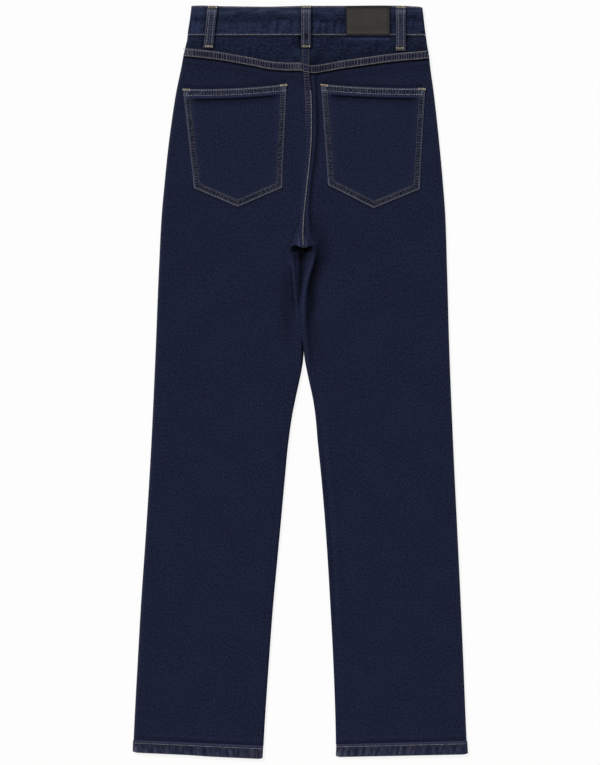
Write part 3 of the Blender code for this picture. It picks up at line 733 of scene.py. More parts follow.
def settled(draft, name, sharpAngle=None):  # the evaluated object as a plain mesh
    depsgraph = bpy.context.evaluated_depsgraph_get()
    mesh = bpy.data.meshes.new_from_object(
        draft.evaluated_get(depsgraph), preserve_all_data_layers=True, depsgraph=depsgraph
    )
    old = draft.data
    bpy.data.objects.remove(draft)
    bpy.data.meshes.remove(old)
    mesh.name = name
    if sharpAngle:
        mesh.shade_smooth()
        mesh.set_sharp_from_angle(angle=math.radians(sharpAngle))
    return shown(name, mesh)


def lines(outerShifts, shares, innerShifts):  # a panel's columns: a share of its width and a shift
    share = np.concatenate([np.zeros(len(outerShifts)), shares, np.ones(len(innerShifts))])
    shift = np.concatenate([outerShifts, np.zeros(len(shares)), -np.array(innerShifts)])
    return share[None, :], shift[None, :]


def columnX(side, column, drop):
    share, shift = column
    return mix(outerEdge(side, drop), innerEdge(side, drop), share) - side * shift


def meet(side, column, keys, rowDrop, lineX=columnX):  # where the columns and the rows cross
    key = np.array(keys, float)[:, None]
    drop = np.broadcast_to(rowDrop(side, key, garment["centreX"]), (len(keys), 1))
    for _ in range(8):
        x = lineX(side, column, drop) + 0 * drop
        drop = rowDrop(side, key, x)
    return x, drop, np.broadcast_to(key, x.shape)


# The back panels and the yokes. A back's rows follow the yoke seam and level out further down
backLook = {
    "firstRow": 90.0,
    "levelRow": 200.0,
    "valleyShade": {left: 0.78, right: 0.60},
    "seamShade": {left: 0.75, right: 1.0},
    "ridgeWash": {left: 0.13, right: 0.12},
    "ridgeSpread": {left: 1.6, right: 2.2},
    "rubbedAway": {left: 3.0, right: 4.6},
}
yokeLook = {"footShade": {left: 0.14, right: 0.26}, "washed": {left: 0.015, right: 0.045}}
rollShifts = (0.0, 0.1, 0.4, 0.9, 1.6, 2.6, 3.8, 5.0)
middleShares = steps(0.045, 0.79, 0.0185)
innerShifts = (*steps(33.0, 20.0, 1.3), *steps(18.9, 1.5, 0.8), 1.0, 0.5, 0.2, 0.0)
backLines = lines(rollShifts, middleShares, innerShifts)


def hemBend(side, key, x):  # what brings the last rows down or up to the hem
    return ease(key, *hem["bends"]) * (hemTop(side, x) - hem["tuck"] - hem["bends"][1])


def backRow(side, key, x):
    first = backLook["firstRow"]
    topBend = fade(key, first, backLook["levelRow"]) * (yokeDrop(x) + garment["gap"] / 2 - first)
    return key + topBend + hemBend(side, key, x) + foldShift(key, x)


def makeBack(side):
    keys = np.concatenate([
        *(steps(backLook["firstRow"], 101, 1.0), steps(104, 332, 3.0), steps(333.2, 376, 0.85)),
        *(steps(377.2, 520, 1.7), steps(523, 1052, 4.2), steps(1053.5, 1060, 1.3)),
    ])
    x, drop, key = meet(side, backLines, keys, backRow)
    below = key > 300
    z = backHeight(side, x, np.where(below, key, drop), np.where(below, openShare(key), 0.0))
    fromSide = np.abs(x - outerEdge(side, drop))
    away = np.abs(x - innerEdge(side, drop))
    beyond = away - ridgeAway[side](drop)
    past, folded = x - seatFoldX(drop), ease(seatFoldSize(drop), 0.2, 1.2)
    underStrip = drop - yokeDrop(x) - lap["width"] / 2
    aboveMouth = mouthDrop(side, x) - drop
    aboveHem = hemTop(side, x) - drop

    # painted shade: in the hollow under the lip, the valley along the inseam, the cloth below the yoke,
    # beside the seat fold and the thigh ridges, and in the cleft between the legs
    inHollow = window(x, -18, -11.5, 15.8, 24.8) * ease(key, crotch["lipKey"], crotch["lipKey"] + 3)
    shade = inHollow * np.maximum(0.95 * fade(drop, 351.5, 358.5), 0.36 * fade(drop, 356, 373))
    flank = fade(away / ridgeAway[side](drop), 0.15, 0.66)
    shade += backLook["valleyShade"][side] * window(key, 350, 354, 400, 434) * flank
    shade += backLook["seamShade"][side] * bell(underStrip - 1.0, 1.5)
    shade += 0.24 * fade(underStrip, 3, 26)
    deepening = mix(0.55, 1.0, ease(drop, 128, 152))
    shade += 0.38 * folded * deepening * bell(past - 0.8, np.where(past < 0.8, 2.2, 4.0))
    if side == right:
        pastLap = x - seatLine(drop) - lapWidth(drop) / 2
        shade += duskSize(key) * window(x - duskX(key), -3.5, 2.5, 4.5, duskWidth(key))
        shade += 0.5 * bell(pastLap - 1.0, 1.1) * window(drop, 90, 98, 205, 250)
    else:
        shade += 0.85 * bell(away - 1.2, 1.4) * window(key, 476, 492, 506, 530)
        shade += 0.48 * bell(beyond - 4.6, 2.3) * between(key, 376, 424)
        shade += 0.31 * bell(x + 19, 9.5) * window(key, 368, 405, 455, 510)
    # painted shadows round the pocket, and painted shade above the hem
    outerX, innerX = side * pocket[side][0][0], side * pocket[side][-1][0]
    onPocket = window(side * x, innerX, innerX + 4, outerX - 4, outerX)
    shade += 0.36 * onPocket * window(aboveMouth, 0, 1.5, 3, 8.5)
    rim = np.array(sorted(pocket[side][1:4])).T
    belowPocket = drop - np.interp(x, *rim)
    atFoot = window(x, rim[0, 0] - 3, rim[0, 0] + 2, rim[0, 2] - 2, rim[0, 2] + 3)
    shade += 0.34 * atFoot * window(belowPocket, 0, 0.8, 2.2, 5.0) + 0.20 * bell(aboveHem - 1.6, 3.0)

    # painted highlights on the tent, on the left flank of the seat fold and along the thigh ridges,
    # which face the light; the spots beside the seam are partly worn, partly painted highlight
    above = key < crotch["lipKey"] + 1
    rubbed = above * bell(away - backLook["rubbedAway"][side], 2.2) * ease(key, 326, 340)
    inTent = above * ease(key, 300, 316) * fade(away / tentEdge[side](drop), 0.72, 1.05)
    ridge = bell(beyond - 0.3, backLook["ridgeSpread"][side]) * between(key, 352, 436)
    wash = backLook["ridgeWash"][side] * ridge + 0.12 * folded * bell(past + 3.6, 1.8)
    wash += 0.05 * inTent + 0.34 * rubbed + 0.05 * bell(aboveHem - 8.5, 2.5)
    wash += 0.11 * bell(underStrip - 5.8, 2.4)
    wear = 0.05 * bell(fromSide, 2.5) + 0.09 * rubbed
    grid = dict(x=x, drop=drop, z=z, shade=np.clip(shade, 0, 1), wear=wear, wash=wash, v=key)
    grid.update(run=drop, inset=fromSide)
    return makeCloth(f"back_{sideNames[side]}", grid, "denim", 0)


def yokeRow(side, key, x):
    return mix(garment["bandDrop"] + garment["gap"], yokeDrop(x) - garment["gap"] / 2, key)


def makeYoke(side):
    rows = (*steps(0, 0.2, 0.033), *steps(0.24, 1, 0.055))
    x, drop, key = meet(side, backLines, rows, yokeRow)
    pull = 0.35 * waves(x + 0.3 * drop, 26, 5 + side) * fade(drop, 46, 66) * ease(drop, 42, 47)
    above = yokeDrop(x) - drop
    # painted shadow under the waistband, and painted shade above the yoke seam and beside and below the
    # back loops
    shade = 0.6 * bell(drop - garment["bandDrop"] - 0.6, 1.6)
    shade += yokeLook["footShade"][side] * bell(above - 10, 5)
    for name in backLoops:
        past, footDrop = pastLoop(name, x, drop), loops[name][2]
        atLeft = 0.8 if "centre" in name else 0.4
        beside = 0.6 * bell(past - 8.6, 1.6) + atLeft * bell(past + 8.6, 4 * atLeft - 0.2)
        shade += beside * fade(drop, footDrop, footDrop + 3)
        shade += 0.45 * bell(drop - footDrop - 1.6, 1.6) * fade(np.abs(past), 6, 8)
    # painted shade in the hollow left of the middle loop and on the right above the yoke seam, a
    # painted highlight on the fold left of the seat seam, and uneven diagonal streaks
    hollow = bell(x + 4, 5) * fade(drop, 52, 68)  # left of the middle loop
    wash = 0.10 * bell(x + 3 - 0.3 * (drop - 64), 4) * ease(drop, 56, 66) - 0.10 * hollow
    wash -= 0.07 * bell(x - 26, 14) * ease(drop, 66, 80) + yokeLook["washed"][side]
    wash += 0.05 * waves(x + 0.9 * drop, 24, 61 + side) * (1 - 0.4 * bell(above, 14))
    start, end = label["span"]
    underLabel = window(x, start - 4, start + 4, end - 4, end + 4)
    # a paler streak below the label, and a painted shadow just under it
    wash += 0.42 * underLabel * bell(drop - 47.8, 2.1)
    shade += 0.4 * underLabel * bell(drop - 44, 1.3)
    wear = 0.06 * bell(x - outerEdge(side, drop), 2.5)
    grid = dict(x=x, drop=drop, z=backHeight(side, x, drop, 0.0) + pull, wear=wear, wash=wash)
    grid.update(shade=np.clip(shade, 0, 1), run=x, inset=drop)
    return makeCloth(f"yoke_{sideNames[side]}", grid, "yoke", 0)


# The felled laps over the yoke seams and the seat seam
lap = {"width": 11.4, "stitchIn": 0.95, "groove": 0.22, "ladder": 0.16, "ladderSize": 3.4}


def quilted(run, inset, seed):  # the puckered relief of a narrow strip between two sewn edges
    rungs = lap["ladder"] * waves(run, lap["ladderSize"], seed) * ease(inset, 1.2, 3.0)
    return rungs - lap["groove"] * bell(inset - lap["stitchIn"], 0.7)


def stripMarks(run, inset, seed, wear, wash):
    marks = dict(wear=wear * bell(inset, 1.9), wash=wash * ease(inset, 0.6, 2.0))
    return dict(marks, pucker=ease(inset, 1.0, 2.4), run=run + 37.0 * seed, inset=inset)


def lapRow(side, key, x):
    return yokeDrop(x) + key * lap["width"]


def lapTop(x, drop):
    return backTop(x, drop) + 0.2 + garment["cloth"]


def makeYokeLap(side):
    column = lines((0.9, 1.6, 2.6, 3.8, 5.0), steps(0.04, 0.90, 0.0095), steps(17, 5.8, 1.4))
    across = np.concatenate([[-0.5, -0.46], steps(-0.41, 0.41, 0.082), [0.46, 0.5]])
    x, drop, key = meet(side, column, across, lapRow)
    inset, seed = (0.5 - np.abs(key)) * lap["width"], 11 + side
    marks = stripMarks(x, inset, seed, 0.42, -0.13)
    if side == left:
        marks["wear"] += 0.13 * fade(x - outerEdge(side, drop), 2, 24) + 0.13 * bell(x + 2, 7)
    else:
        # painted shade on the right strip near the middle, which is less worn there
        marks["shade"] = 0.30 * bell(x - 26, 14)
        marks["wear"] *= 1 - 0.4 * bell(x - 26, 14)
    z = lapTop(x, drop) - garment["cloth"] / 2 + quilted(x, inset, seed)
    return makeCloth(f"yoke_seam_{sideNames[side]}", dict(marks, x=x, drop=drop, z=z), "sewn")


def makeSeatLap():
    across = np.concatenate([[-0.5, -0.44], steps(-0.36, 0.36, 0.12), [0.44, 0.5]])[None, :]
    keys = (*steps(62, 330, 1.8), *steps(331, 345.6, 0.9))

    def rowDrop(side, key, x):
        return key + foldShift(np.minimum(key, crotch["lipKey"]), x) * ease(key, 320, 345)

    def lineX(side, column, drop):
        return seatLine(drop) + column * lapWidth(drop)

    x, drop, key = meet(right, across, keys, rowDrop, lineX)
    inset = (0.5 - np.abs(across)) * lapWidth(drop)
    sunk = ease(key, 120, 185)  # lower down only the right edge stands out
    onLeft = fade((x - seatLine(drop)) / lapWidth(drop), -0.5, 0.35)
    z = lapTop(x, key) - garment["cloth"] / 2 + 0.7 * quilted(key, inset, 17)
    z -= 0.5 * ease(key, 343, 345.6) + 1.15 * sunk * onLeft
    marks = stripMarks(key, inset, 17, 0.20, 0.0)
    crossed = window(drop, 90, 96, 112, 130)  # darker where the seams cross
    pale = np.where(x > seatLine(drop), mix(0.5, 1.0, ease(drop, 114, 130)), 0.5)
    marks["wear"] *= pale * (1 - sunk * ease(onLeft, 0, 0.4)) * (1 - 0.6 * crossed)
    marks["pucker"] *= mix(0.35 + 0.65 * ease(drop, 84, 92), 0.15, sunk)
    marks["shade"] = 0.32 * crossed * (0.8 + 0.5 * waves(drop, 7, 71))
    return makeCloth("seat_seam", dict(marks, x=x, drop=drop, z=z), "sewn")


# The front, which lies on the surface
front = {
    "firstRow": 46.0,
    "levelRow": 151.0,
    "facingRows": (43.0, 110.0, 146.0),  # the first, the first level one and the last
    "scoopWidth": 62.0,
    "scoopDepth": 105.0,
    "shieldWidth": 38.0,
    "shieldDrop": 205.0,
    "flyWidth": 34.0,
    "flyDrop": 190.0,
}


def scoop(drop):  # how far the pocket's curved edge stands in from the side seam
    share = (drop - garment["bandDrop"] - garment["frontDip"] / 2) / front["scoopDepth"]
    reach = front["scoopWidth"] * np.sqrt(np.maximum(0.0, 1 - np.maximum(share, 0.0) ** 2))
    return np.where(share >= 1, 0.0, reach)


def frontRow(side, key, x):
    first = front["firstRow"]
    topBend = fade(key, first, front["levelRow"]) * (frontTop(x) - first)
    return key + topBend + hemBend(side, key, x)


def frontColumnX(side, column, drop):
    share, shift = column
    outer = outerEdge(side, drop) - side * scoop(drop)
    return mix(outer, frontInner(side, drop), share) - side * shift


def makeFront(side):
    lipShifts = (0.0, 0.1, 0.5, 1.2, 2.4, 4.0)
    column = lines(lipShifts, steps(0.06, 0.94, 0.026), lipShifts[::-1])
    keys = np.concatenate([
        *(steps(front["firstRow"], 145, 3.5), (147, 149, 150.4, 151.6, 154), steps(158, 340, 5.0)),
        *(steps(343, 356, 1.3), steps(360, 560, 3.5), steps(566, 1060, 6.0)),
    ])
    x, drop, key = meet(side, column, keys, frontRow, frontColumnX)
    inset = np.abs(x - outerEdge(side, drop) + side * scoop(drop))
    wear = np.where(drop < 150, 0.4 * bell(inset, 1.2), 0.06 * bell(inset, 2.5))
    grid = dict(x=x, drop=drop, z=frontHeight(side, x, drop), wear=wear, run=drop, inset=inset)
    return makeCloth(f"front_{sideNames[side]}", grid, "denim", 0)


def makeFacing(side):  # it lies above the front, which is face down
    first, level, last = front["facingRows"]

    def rowDrop(side, key, x):
        return key + fade(key, first, level) * (frontTop(x) - garment["bandDrop"])

    def lineX(side, column, drop):
        clear = mix(4.5, 2.0, ease(drop, first, level))
        return outerEdge(side, drop) - side * mix(clear, scoop(drop) + 10, column)

    rows = steps(first, last, 4.0)
    x, drop, key = meet(side, steps(0, 1, 0.06)[None, :], rows, rowDrop, lineX)
    lift = garment["cloth"] / 2 + garment["gap"] + garment["facing"] / 2
    grid = dict(x=x, drop=drop, z=frontLevel(x, drop) + lift)
    return makeCloth(f"front_pocket_facing_{sideNames[side]}", grid, "denim", 0, garment["facing"])


def makeShield():
    def rowDrop(side, key, x):
        return mix(frontTop(x) + garment["gap"] / 2, front["shieldDrop"], key)

    def lineX(side, column, drop):
        return garment["centreX"] + column * front["shieldWidth"]

    x, drop, key = meet(right, steps(-0.5, 0.5, 0.1)[None, :], steps(0, 1, 0.03), rowDrop, lineX)
    grid = dict(x=x, drop=drop, z=frontLevel(x, drop) + garment["cloth"] + garment["gap"])
    return makeCloth("fly_shield", grid, "denim", 0)


# The waistband: one strip, from its buttoned end at the front, round the back, to its underlap
band = {
    "start": 0.08,
    "stepDown": 0.3,
    "stepUp": 0.18,
    "end": -0.13,
    "pucker": 0.3,
    "puckerSize": 15.0,
    "topStitch": 1.8,
    "lowStitch": 1.3,
}
(bandTopDip,) = curvesOf({
    "x": (-162, -153, -113, -75, -49, 3, 63, 124, 156, 165, 170, 173, 176, 180),
    "dip": (1.6, 0.8, 1.4, 1.95, 2.2, 1.2, 0.95, 0.5, 1.25, 1.8, 2.1, 2.6, 3.9, 6.6),
}).values()
(bandTone,) = curvesOf({
    "level": (-1, 2, 5, 9, 12, 15, 19, 23, 26, 30, 34, 40, 42),
    "wash": (0.22, 0.17, 0.11, 0.08, 0.02, -0.09, -0.11, 0.0, 0.11, 0.09, 0.09, 0.08, 0.06),
}).values()


def joined(*sections):  # each section's columns, end to end, where one value fills its column
    filled = [np.broadcast_arrays(*section) for section in sections]
    return [np.concatenate(column) for column in zip(*filled)]


def bandStations():  # a share of the half width, then the height and the back's share
    low, level = garment["bandFront"], float(backLevel(-garment["halfWaist"], 0))
    turn = np.radians(steps(0, 180, 15))
    over = (1 - np.cos(turn)) / 2
    out, rise = 1 + np.sin(turn), mix(low, level, over)
    last = steps(0.99, band["end"], 0.015)
    lapped = fade(last, band["stepUp"], band["stepDown"])
    return joined(
        (steps(band["start"], -0.995, 0.015), low, 0.0),
        (-out, rise, over),
        (steps(-0.985, 0.985, 0.0125), np.nan, 1.0),
        (out, rise[::-1], over[::-1]),
        (last, mix(low, garment["underlap"], lapped), 0.0),
    )


def bandShape(share):  # x, drop and z of the strip at each share of its depth, and the back's share
    u, height, back = bandStations()
    turnRadius = (float(backLevel(-garment["halfWaist"], 0)) - garment["bandFront"]) / 2
    level = mix(garment["bandTop"], garment["bandDrop"], share)[:, None]
    first = sideFace[left](level) + garment["band"] / 2 + turnRadius
    last = sideFace[right](level) - garment["band"] / 2 - turnRadius
    flat = np.clip(u, -1, 1)
    x = mix(first, last, (flat + 1) / 2) + (u - flat) * turnRadius
    z = np.where(np.isnan(height), backLevel(x, 0), height)
    return x, level + (1 - back) * frontDip(x) + bandTopDip(x) * fade(level, -1, 14), z, back


def bandPucker(x, level, back):
    upright = band["pucker"] * waves(x + 0.35 * level, band["puckerSize"], 23)
    return (window(level, 17, 24, 36, 41) * upright + 0.22 * bell(level - 24, 5)) * back


def makeBand():
    share = np.concatenate([[0, 0.015, 0.04], steps(0.07, 0.93, 0.035), [0.96, 0.985, 1]])
    x, drop, z, back = bandShape(share)
    level = mix(garment["bandTop"], garment["bandDrop"], share)[:, None]
    fromTop, fromFoot = level - garment["bandTop"], garment["bandDrop"] - level
    low, rightward = ease(level, 17, 23), ease(x, -10, 60)
    streaks = ripples(0.3 * x, level, 9, 31)
    puckered = low * (0.12 * waves(x + 0.2 * level, 15, 29) + 0.09 * waves(x + 0.1 * level, 7, 30))
    wash = bandTone(level) - 0.10 * low * rightward + puckered + 0.10 * streaks
    wash += 0.10 * fade(x, -144, -132) * ease(level, 2, 6)
    wear = bell(fromTop, 1.4) * 0.3 + bell(fromFoot, 1.6) * 0.26 + 0 * x
    rubbed = (0.085 * ease(streaks, -0.3, 0.8) + 0.015) * window(level, 1, 3, 8, 13)
    wear += rubbed * (1 - 0.6 * rightward)
    labelStart, labelEnd = label["span"]
    wear += 0.4 * window(x, labelStart, labelStart + 4, labelEnd - 4, labelEnd) * bell(fromFoot, 1.1)
    # painted shadows beside the label and the back loops
    shade = 0.6 * bell(x - labelStart + 1.2, 1.5) + 0.35 * bell(x - labelEnd - 1.4, 1.7)
    for name in backLoops:
        past = pastLoop(name, x, drop)
        beyond = 0.25 if "right" in name else 0.72
        shade += beyond * bell(past - 8.2, 1.5) + 0.6 * bell(past + 8.0, 1.4)
    # painted light beside the right loop, which eases the shadow the loop casts
    wash += 0.13 * bell(past - 8.8, 2.2) * low  # paler beside the right loop
    grid = dict(x=x, drop=drop, z=z + bandPucker(x, level, back), wear=wear, wash=wash, run=x)
    grid.update(shade=np.clip(shade, 0, 1) * back, inset=np.minimum(fromTop, fromFoot))
    return makeCloth("waistband", grid, "band", 0.5, garment["band"])


# The patch pockets: the corners of each, from the mouth at the side seam round to the mouth
# at the middle of the back, as x and drop
pocket = {
    left: ((-168.6, 119.5), (-152.6, 262.1), (-89.6, 288.9), (-26.2, 261.4), (-19.4, 112.6)),
    right: ((180.0, 118.6), (171.8, 263.8), (105.8, 290.8), (40.2, 257.6), (29.9, 112.6)),
}
pocketLook = {
    "thin": 1.2,
    "hemThick": 0.5,
    "mouthHem": 13.6,
    "sag": {left: 2.9, right: 2.1},
    "outerLine": 1.9,
    "innerLine": 8.2,
    "mouthLines": (1.8, 8.8),
    "outerWear": {left: 0.05, right: 0.0},
    "width": 150.0,
    "length": 168.0,
}


def mouthDrop(side, x):
    (outerX, outerDrop), (innerX, innerDrop) = pocket[side][0], pocket[side][-1]
    across = np.clip((x - outerX) / (innerX - outerX), 0, 1)
    return mix(outerDrop, innerDrop, across) + pocketLook["sag"][side] * 4 * across * (1 - across)


def pocketPoint(side, across, down):
    mouth, outerHeel, foot, innerHeel, lastMouth = pocket[side]
    mouthX = mix(mouth[0], lastMouth[0], across)
    heelX, heelDrop = (np.where(across < 0.5, outerHeel[k], innerHeel[k]) for k in (0, 1))
    share = 1 - np.abs(across - 0.5) * 2
    footX, footDrop = mix(heelX, foot[0], share), mix(heelDrop, foot[1], share)
    return mix(mouthX, footX, down), mix(mouthDrop(side, mouthX), footDrop, down)


def edgePlaces(side, x, drop):  # the place along the sewn edges and the distance in from them
    corners = np.array(pocket[side])
    run, inset, passed = 0.0, np.inf, 0.0
    for start, end in zip(corners[:-1], corners[1:]):
        length = np.linalg.norm(end - start)
        along = (end - start) / length
        on = (x - start[0]) * along[0] + (drop - start[1]) * along[1]
        away = np.abs((x - start[0]) * along[1] - (drop - start[1]) * along[0])
        run = np.where(away < inset, passed + on, run)
        inset = np.minimum(away, inset)
        passed += length
    return run, inset


def pocketTop(side, x, drop):  # the pocket's upper face
    run, inset = edgePlaces(side, x, drop)
    below = drop - mouthDrop(side, x)
    lift = 0.2 + pocketLook["thin"] - 0.25 * (1 - quarter(inset / 1.0))
    lift += pocketLook["hemThick"] * fade(below, pocketLook["mouthHem"] - 1.6, pocketLook["mouthHem"])
    grooves = bell(inset - pocketLook["outerLine"], 0.8) + bell(inset - pocketLook["innerLine"], 0.9)
    for line in pocketLook["mouthLines"]:
        grooves += bell(below - line, 0.8)
    quilt = window(inset, 1.4, 3.0, 7.4, 9.2) * waves(run, 3.6, 31 + side)
    quilt += window(below, 2.6, 4.0, 8.0, 9.4) * waves(x, 3.8, 33 + side)
    # below its hem the pocket sinks a little, most in the middle of the mouth
    sink = 0.55 * bell(x - pocket[side][2][0], 60) * window(below, 12.5, 15.5, 18, 45)
    return backTop(x, drop) + lift - 0.18 * grooves + 0.13 * quilt - sink


def makePocket(side):
    edge = np.array([0, 0.5, 1.1, 1.8, 2.6, *steps(3.6, 12.6, 1.0)])
    near = edge / pocketLook["width"]
    across = np.concatenate([near, steps(0.095, 0.905, 0.02), 1 - near[::-1]])
    mouth = np.array([0, 0.6, 1.3, 2.2, 3.1, *steps(4, 18, 0.9)]) / pocketLook["length"]
    foot = 1 - edge[::-1] / pocketLook["length"]
    down = np.concatenate([mouth, steps(0.125, 0.905, 0.017), foot])
    x, drop = pocketPoint(side, across[None, :], down[:, None])
    run, inset = edgePlaces(side, x, drop)
    below = drop - mouthDrop(side, x)
    atMouth = ease(12 - below, 0, 3)
    clear = 1 - atMouth
    heel = ease(drop, 240, 262)
    outside = fade((x - pocket[side][0][0]) * -side, 10, 14)
    corner = bell(below - 6, 6) * fade(inset, 6.0, 8.5)
    edging = 0.27 + 0.38 * heel + pocketLook["outerWear"][side] * outside
    wear = (edging * bell(inset, 1.4) + 0.16 * heel * bell(inset - 8.4, 1.1)) * clear
    wear += 0.42 * bell(below, 1.3) + 0.17 * corner
    wash = 0.30 * window(below, 9.2, 10.4, 12.6, 14.2) - 0.09 * atMouth
    wash += 0.3 * bell(below, 1.2) + 0.3 * corner
    wash += (0.5 * bell(inset, 1.6) - (0.19 + 0.10 * heel) * fade(inset, 7.4, 8.8)) * clear
    wash += 0.06 * bell(inset - 11.0, 2.2) * clear * (1 - heel)
    ladder = 0.9 * window(inset, 1.6, 2.6, 7.2, 8.6) * clear + window(below, 2.4, 3.4, 8.2, 9.2)
    # painted shadow on the pocket under the mouth's hem
    shade = ease(inset, 3, 24) * (0.8 * bell(below - 14.8, 1.5) + 0.36 * bell(below - 18.5, 5.0))
    grid = dict(x=x, drop=drop, z=pocketTop(side, x, drop), wash=wash)
    grid.update(wear=np.clip(wear, 0, 1), pucker=np.clip(ladder, 0, 1), shade=np.clip(shade, 0, 1))
    grid["run"] = np.where(atMouth > 0.5, x + 500, run)
    grid["inset"] = np.where(atMouth > 0.5, below, inset)
    name = f"back_pocket_{sideNames[side]}"
    return makeCloth(name, grid, "patch", 0.25, pocketLook["thin"], upFrom=-1.0)


# The belt loops: the middle's x at the top and at the foot, and the foot's drop
loops = {
    "belt_loop_back_left": (-126.0, -132.0, 61.0),
    "belt_loop_back_centre": (8.6, 8.6, 61.0),
    "belt_loop_back_right": (144.9, 145.0, 65.0),
    "belt_loop_front_left": (-95.0, -97.0, 61.0),
    "belt_loop_front_right": (105.0, 107.0, 61.0),
}
backLoops = list(loops)[:3]
loopForm = {"width": 13.8, "stitchIn": 3.0, "arch": 0.5}


def pastLoop(name, x, drop):  # how far to the right of the loop's middle
    topX, footX, footDrop = loops[name]
    return x - mix(topX, footX, drop / footDrop)


def loopPoint(name, across, share):  # x, drop and z, with across in mm from the loop's middle
    topX, footX, footDrop = loops[name]
    flare = 1.03 + 0.07 * fade(share, 0.09, 0.17) + 0.05 * ease(share, 0.84, 0.9)
    x = mix(topX, footX, share) + across * flare
    if "front" in name:
        return x, mix(frontDip(x), footDrop, share), garment["loop"] / 2 + 0.12 + 0 * x
    drop = mix(0.0, footDrop, share)
    under = mix(garment["band"], garment["cloth"], ease(drop, 42, 52)) / 2
    arch = loopForm["arch"] * window(share, 0.08, 0.3, 0.6, 0.8)
    return x, drop, backLevel(x, drop) + under + garment["gap"] + garment["loop"] / 2 + arch


def makeLoop(name):
    half = loopForm["width"] / 2
    across = np.concatenate([[-1, -0.95], steps(-0.88, 0.88, 0.08), [0.95, 1]])[None, :] * half
    share = np.concatenate([[0, 0.012], steps(0.03, 0.97, 0.022), [0.988, 1]])
    x, drop, z = loopPoint(name, across, share[:, None])
    centre, beforeFoot = "centre" in name, loops[name][2] - drop
    inset = half - np.abs(across)
    seed = sum(map(ord, name)) % 97
    if "back" in name:
        ridges = 0.1 * waves(drop, 3.6, seed) * ease(inset, 1, 3)
        z = z + ridges - 0.14 * bell(inset - loopForm["stitchIn"], 0.8)
    off = np.abs(across) + 0.25 * waves(drop, 16, seed + 1)
    fading = 0.75 + 0.5 * waves(drop + 30 * across, 7, seed + 2)
    pale = 0.5 + 0.5 * fading * np.cos((off - 3.2) * 2 * math.pi / 3.5)
    # painted shade in a dent in each loop, and in a line beside each bar tack
    if centre:
        dent = bell(beforeFoot - 17, 6) * bell(across, 2.6)
    else:
        dent = 0.4 * bell(drop - 19, 8) * bell(across + 0.6, 2.2)
    under = bell(drop - 4.5, 0.9) + 0.8 * bell(beforeFoot - 5.0, 0.9)
    high = 0.24 * bell(drop - 7.5, 3.2) + (0 if centre else 0.03) * fade(drop, 14, 26)
    wear = np.maximum(0.28 * pale**1.5 + high, 0) + 0.07 * bell(inset - 0.8, 1.1)
    wash = 0.34 * pale - 0.18 + 0.3 * bell(drop - 8, 4)
    grid = dict(x=x, drop=drop, z=z, wear=wear, wash=wash, pucker=0.25 if centre else 0.42)
    grid.update(shade=np.clip(0.9 * dent + 0.7 * under, 0, 1), run=drop + 37.0 * seed, inset=inset)
    return makeCloth(name, grid, "loop", 0.45, garment["loop"])


# The bare label, with a groove pressed in round its edge
label = {"span": (66.5, 128.9), "drops": (0.0, 41.5), "groove": 2.6}


def makeLabel():
    near = np.array([0, 0.7, 1.5, 2.1, 2.6, 3.1, 3.8])
    (start, end), (top, foot) = label["span"], label["drops"]
    x = np.concatenate([start + near, steps(72.5, 123, 3.5), end - near[::-1]])
    drop = np.concatenate([top + near, steps(5.5, 37.0, 3.0), foot - near[::-1]])
    x, drop = np.meshgrid(x, drop)
    fromLeft, fromRight, fromTop, fromFoot = x - start, end - x, drop - top, foot - drop
    inset = np.minimum(np.minimum(fromLeft, fromRight), np.minimum(fromTop, fromFoot))
    z = backLevel(x, drop) + garment["band"] / 2 + garment["gap"] + garment["leather"]
    z = z - 0.22 * bell(inset - label["groove"], 0.55) - 0.2 * (1 - quarter(inset / 1.2))
    # the shade mark darkens the top and the edges, and its negative term paints a highlight on the rim
    # just above the foot
    shade = fade(fromTop, 3.0, 5.2) + 0.6 * fade(fromRight, 0.8, 3.0) + 0.13 * fade(fromRight, 4, 9)
    shade += 0.9 * fade(fromLeft, 0.2, 1.1) + fade(fromFoot, 0.3, 1.5) + 0.07 * ripples(x, drop, 26, 43)
    shade += 0.12 * bell(fromFoot - 6.6, 1.6) - 0.42 * bell(fromFoot - 3.2, 1.3)
    grid = dict(x=x, drop=drop, z=z + 0.12 * ripples(x, drop, 40, 41), shade=shade)
    return makeCloth("label", grid, "leather", 0.3, garment["leather"], upFrom=-1.0)


# The button: a turned cap that lies face down, as radius and height pairs
button = {
    "x": 5.0,
    "drop": 27.0,
    "steps": 48,
    "profile": (
        *((0.0, 1.7), (7.6, 1.7), (8.2, 1.55), (8.5, 1.2), (8.5, 0.7), (8.3, 0.3), (7.9, 0.08)),
        *((7.4, 0.0), (6.9, 0.05), (6.5, 0.25), (6.2, 0.5), (5.6, 0.55), (4.8, 0.5), (4.4, 0.3)),
        *((4.0, 0.22), (2.0, 0.16), (0.0, 0.15)),
    ),
}


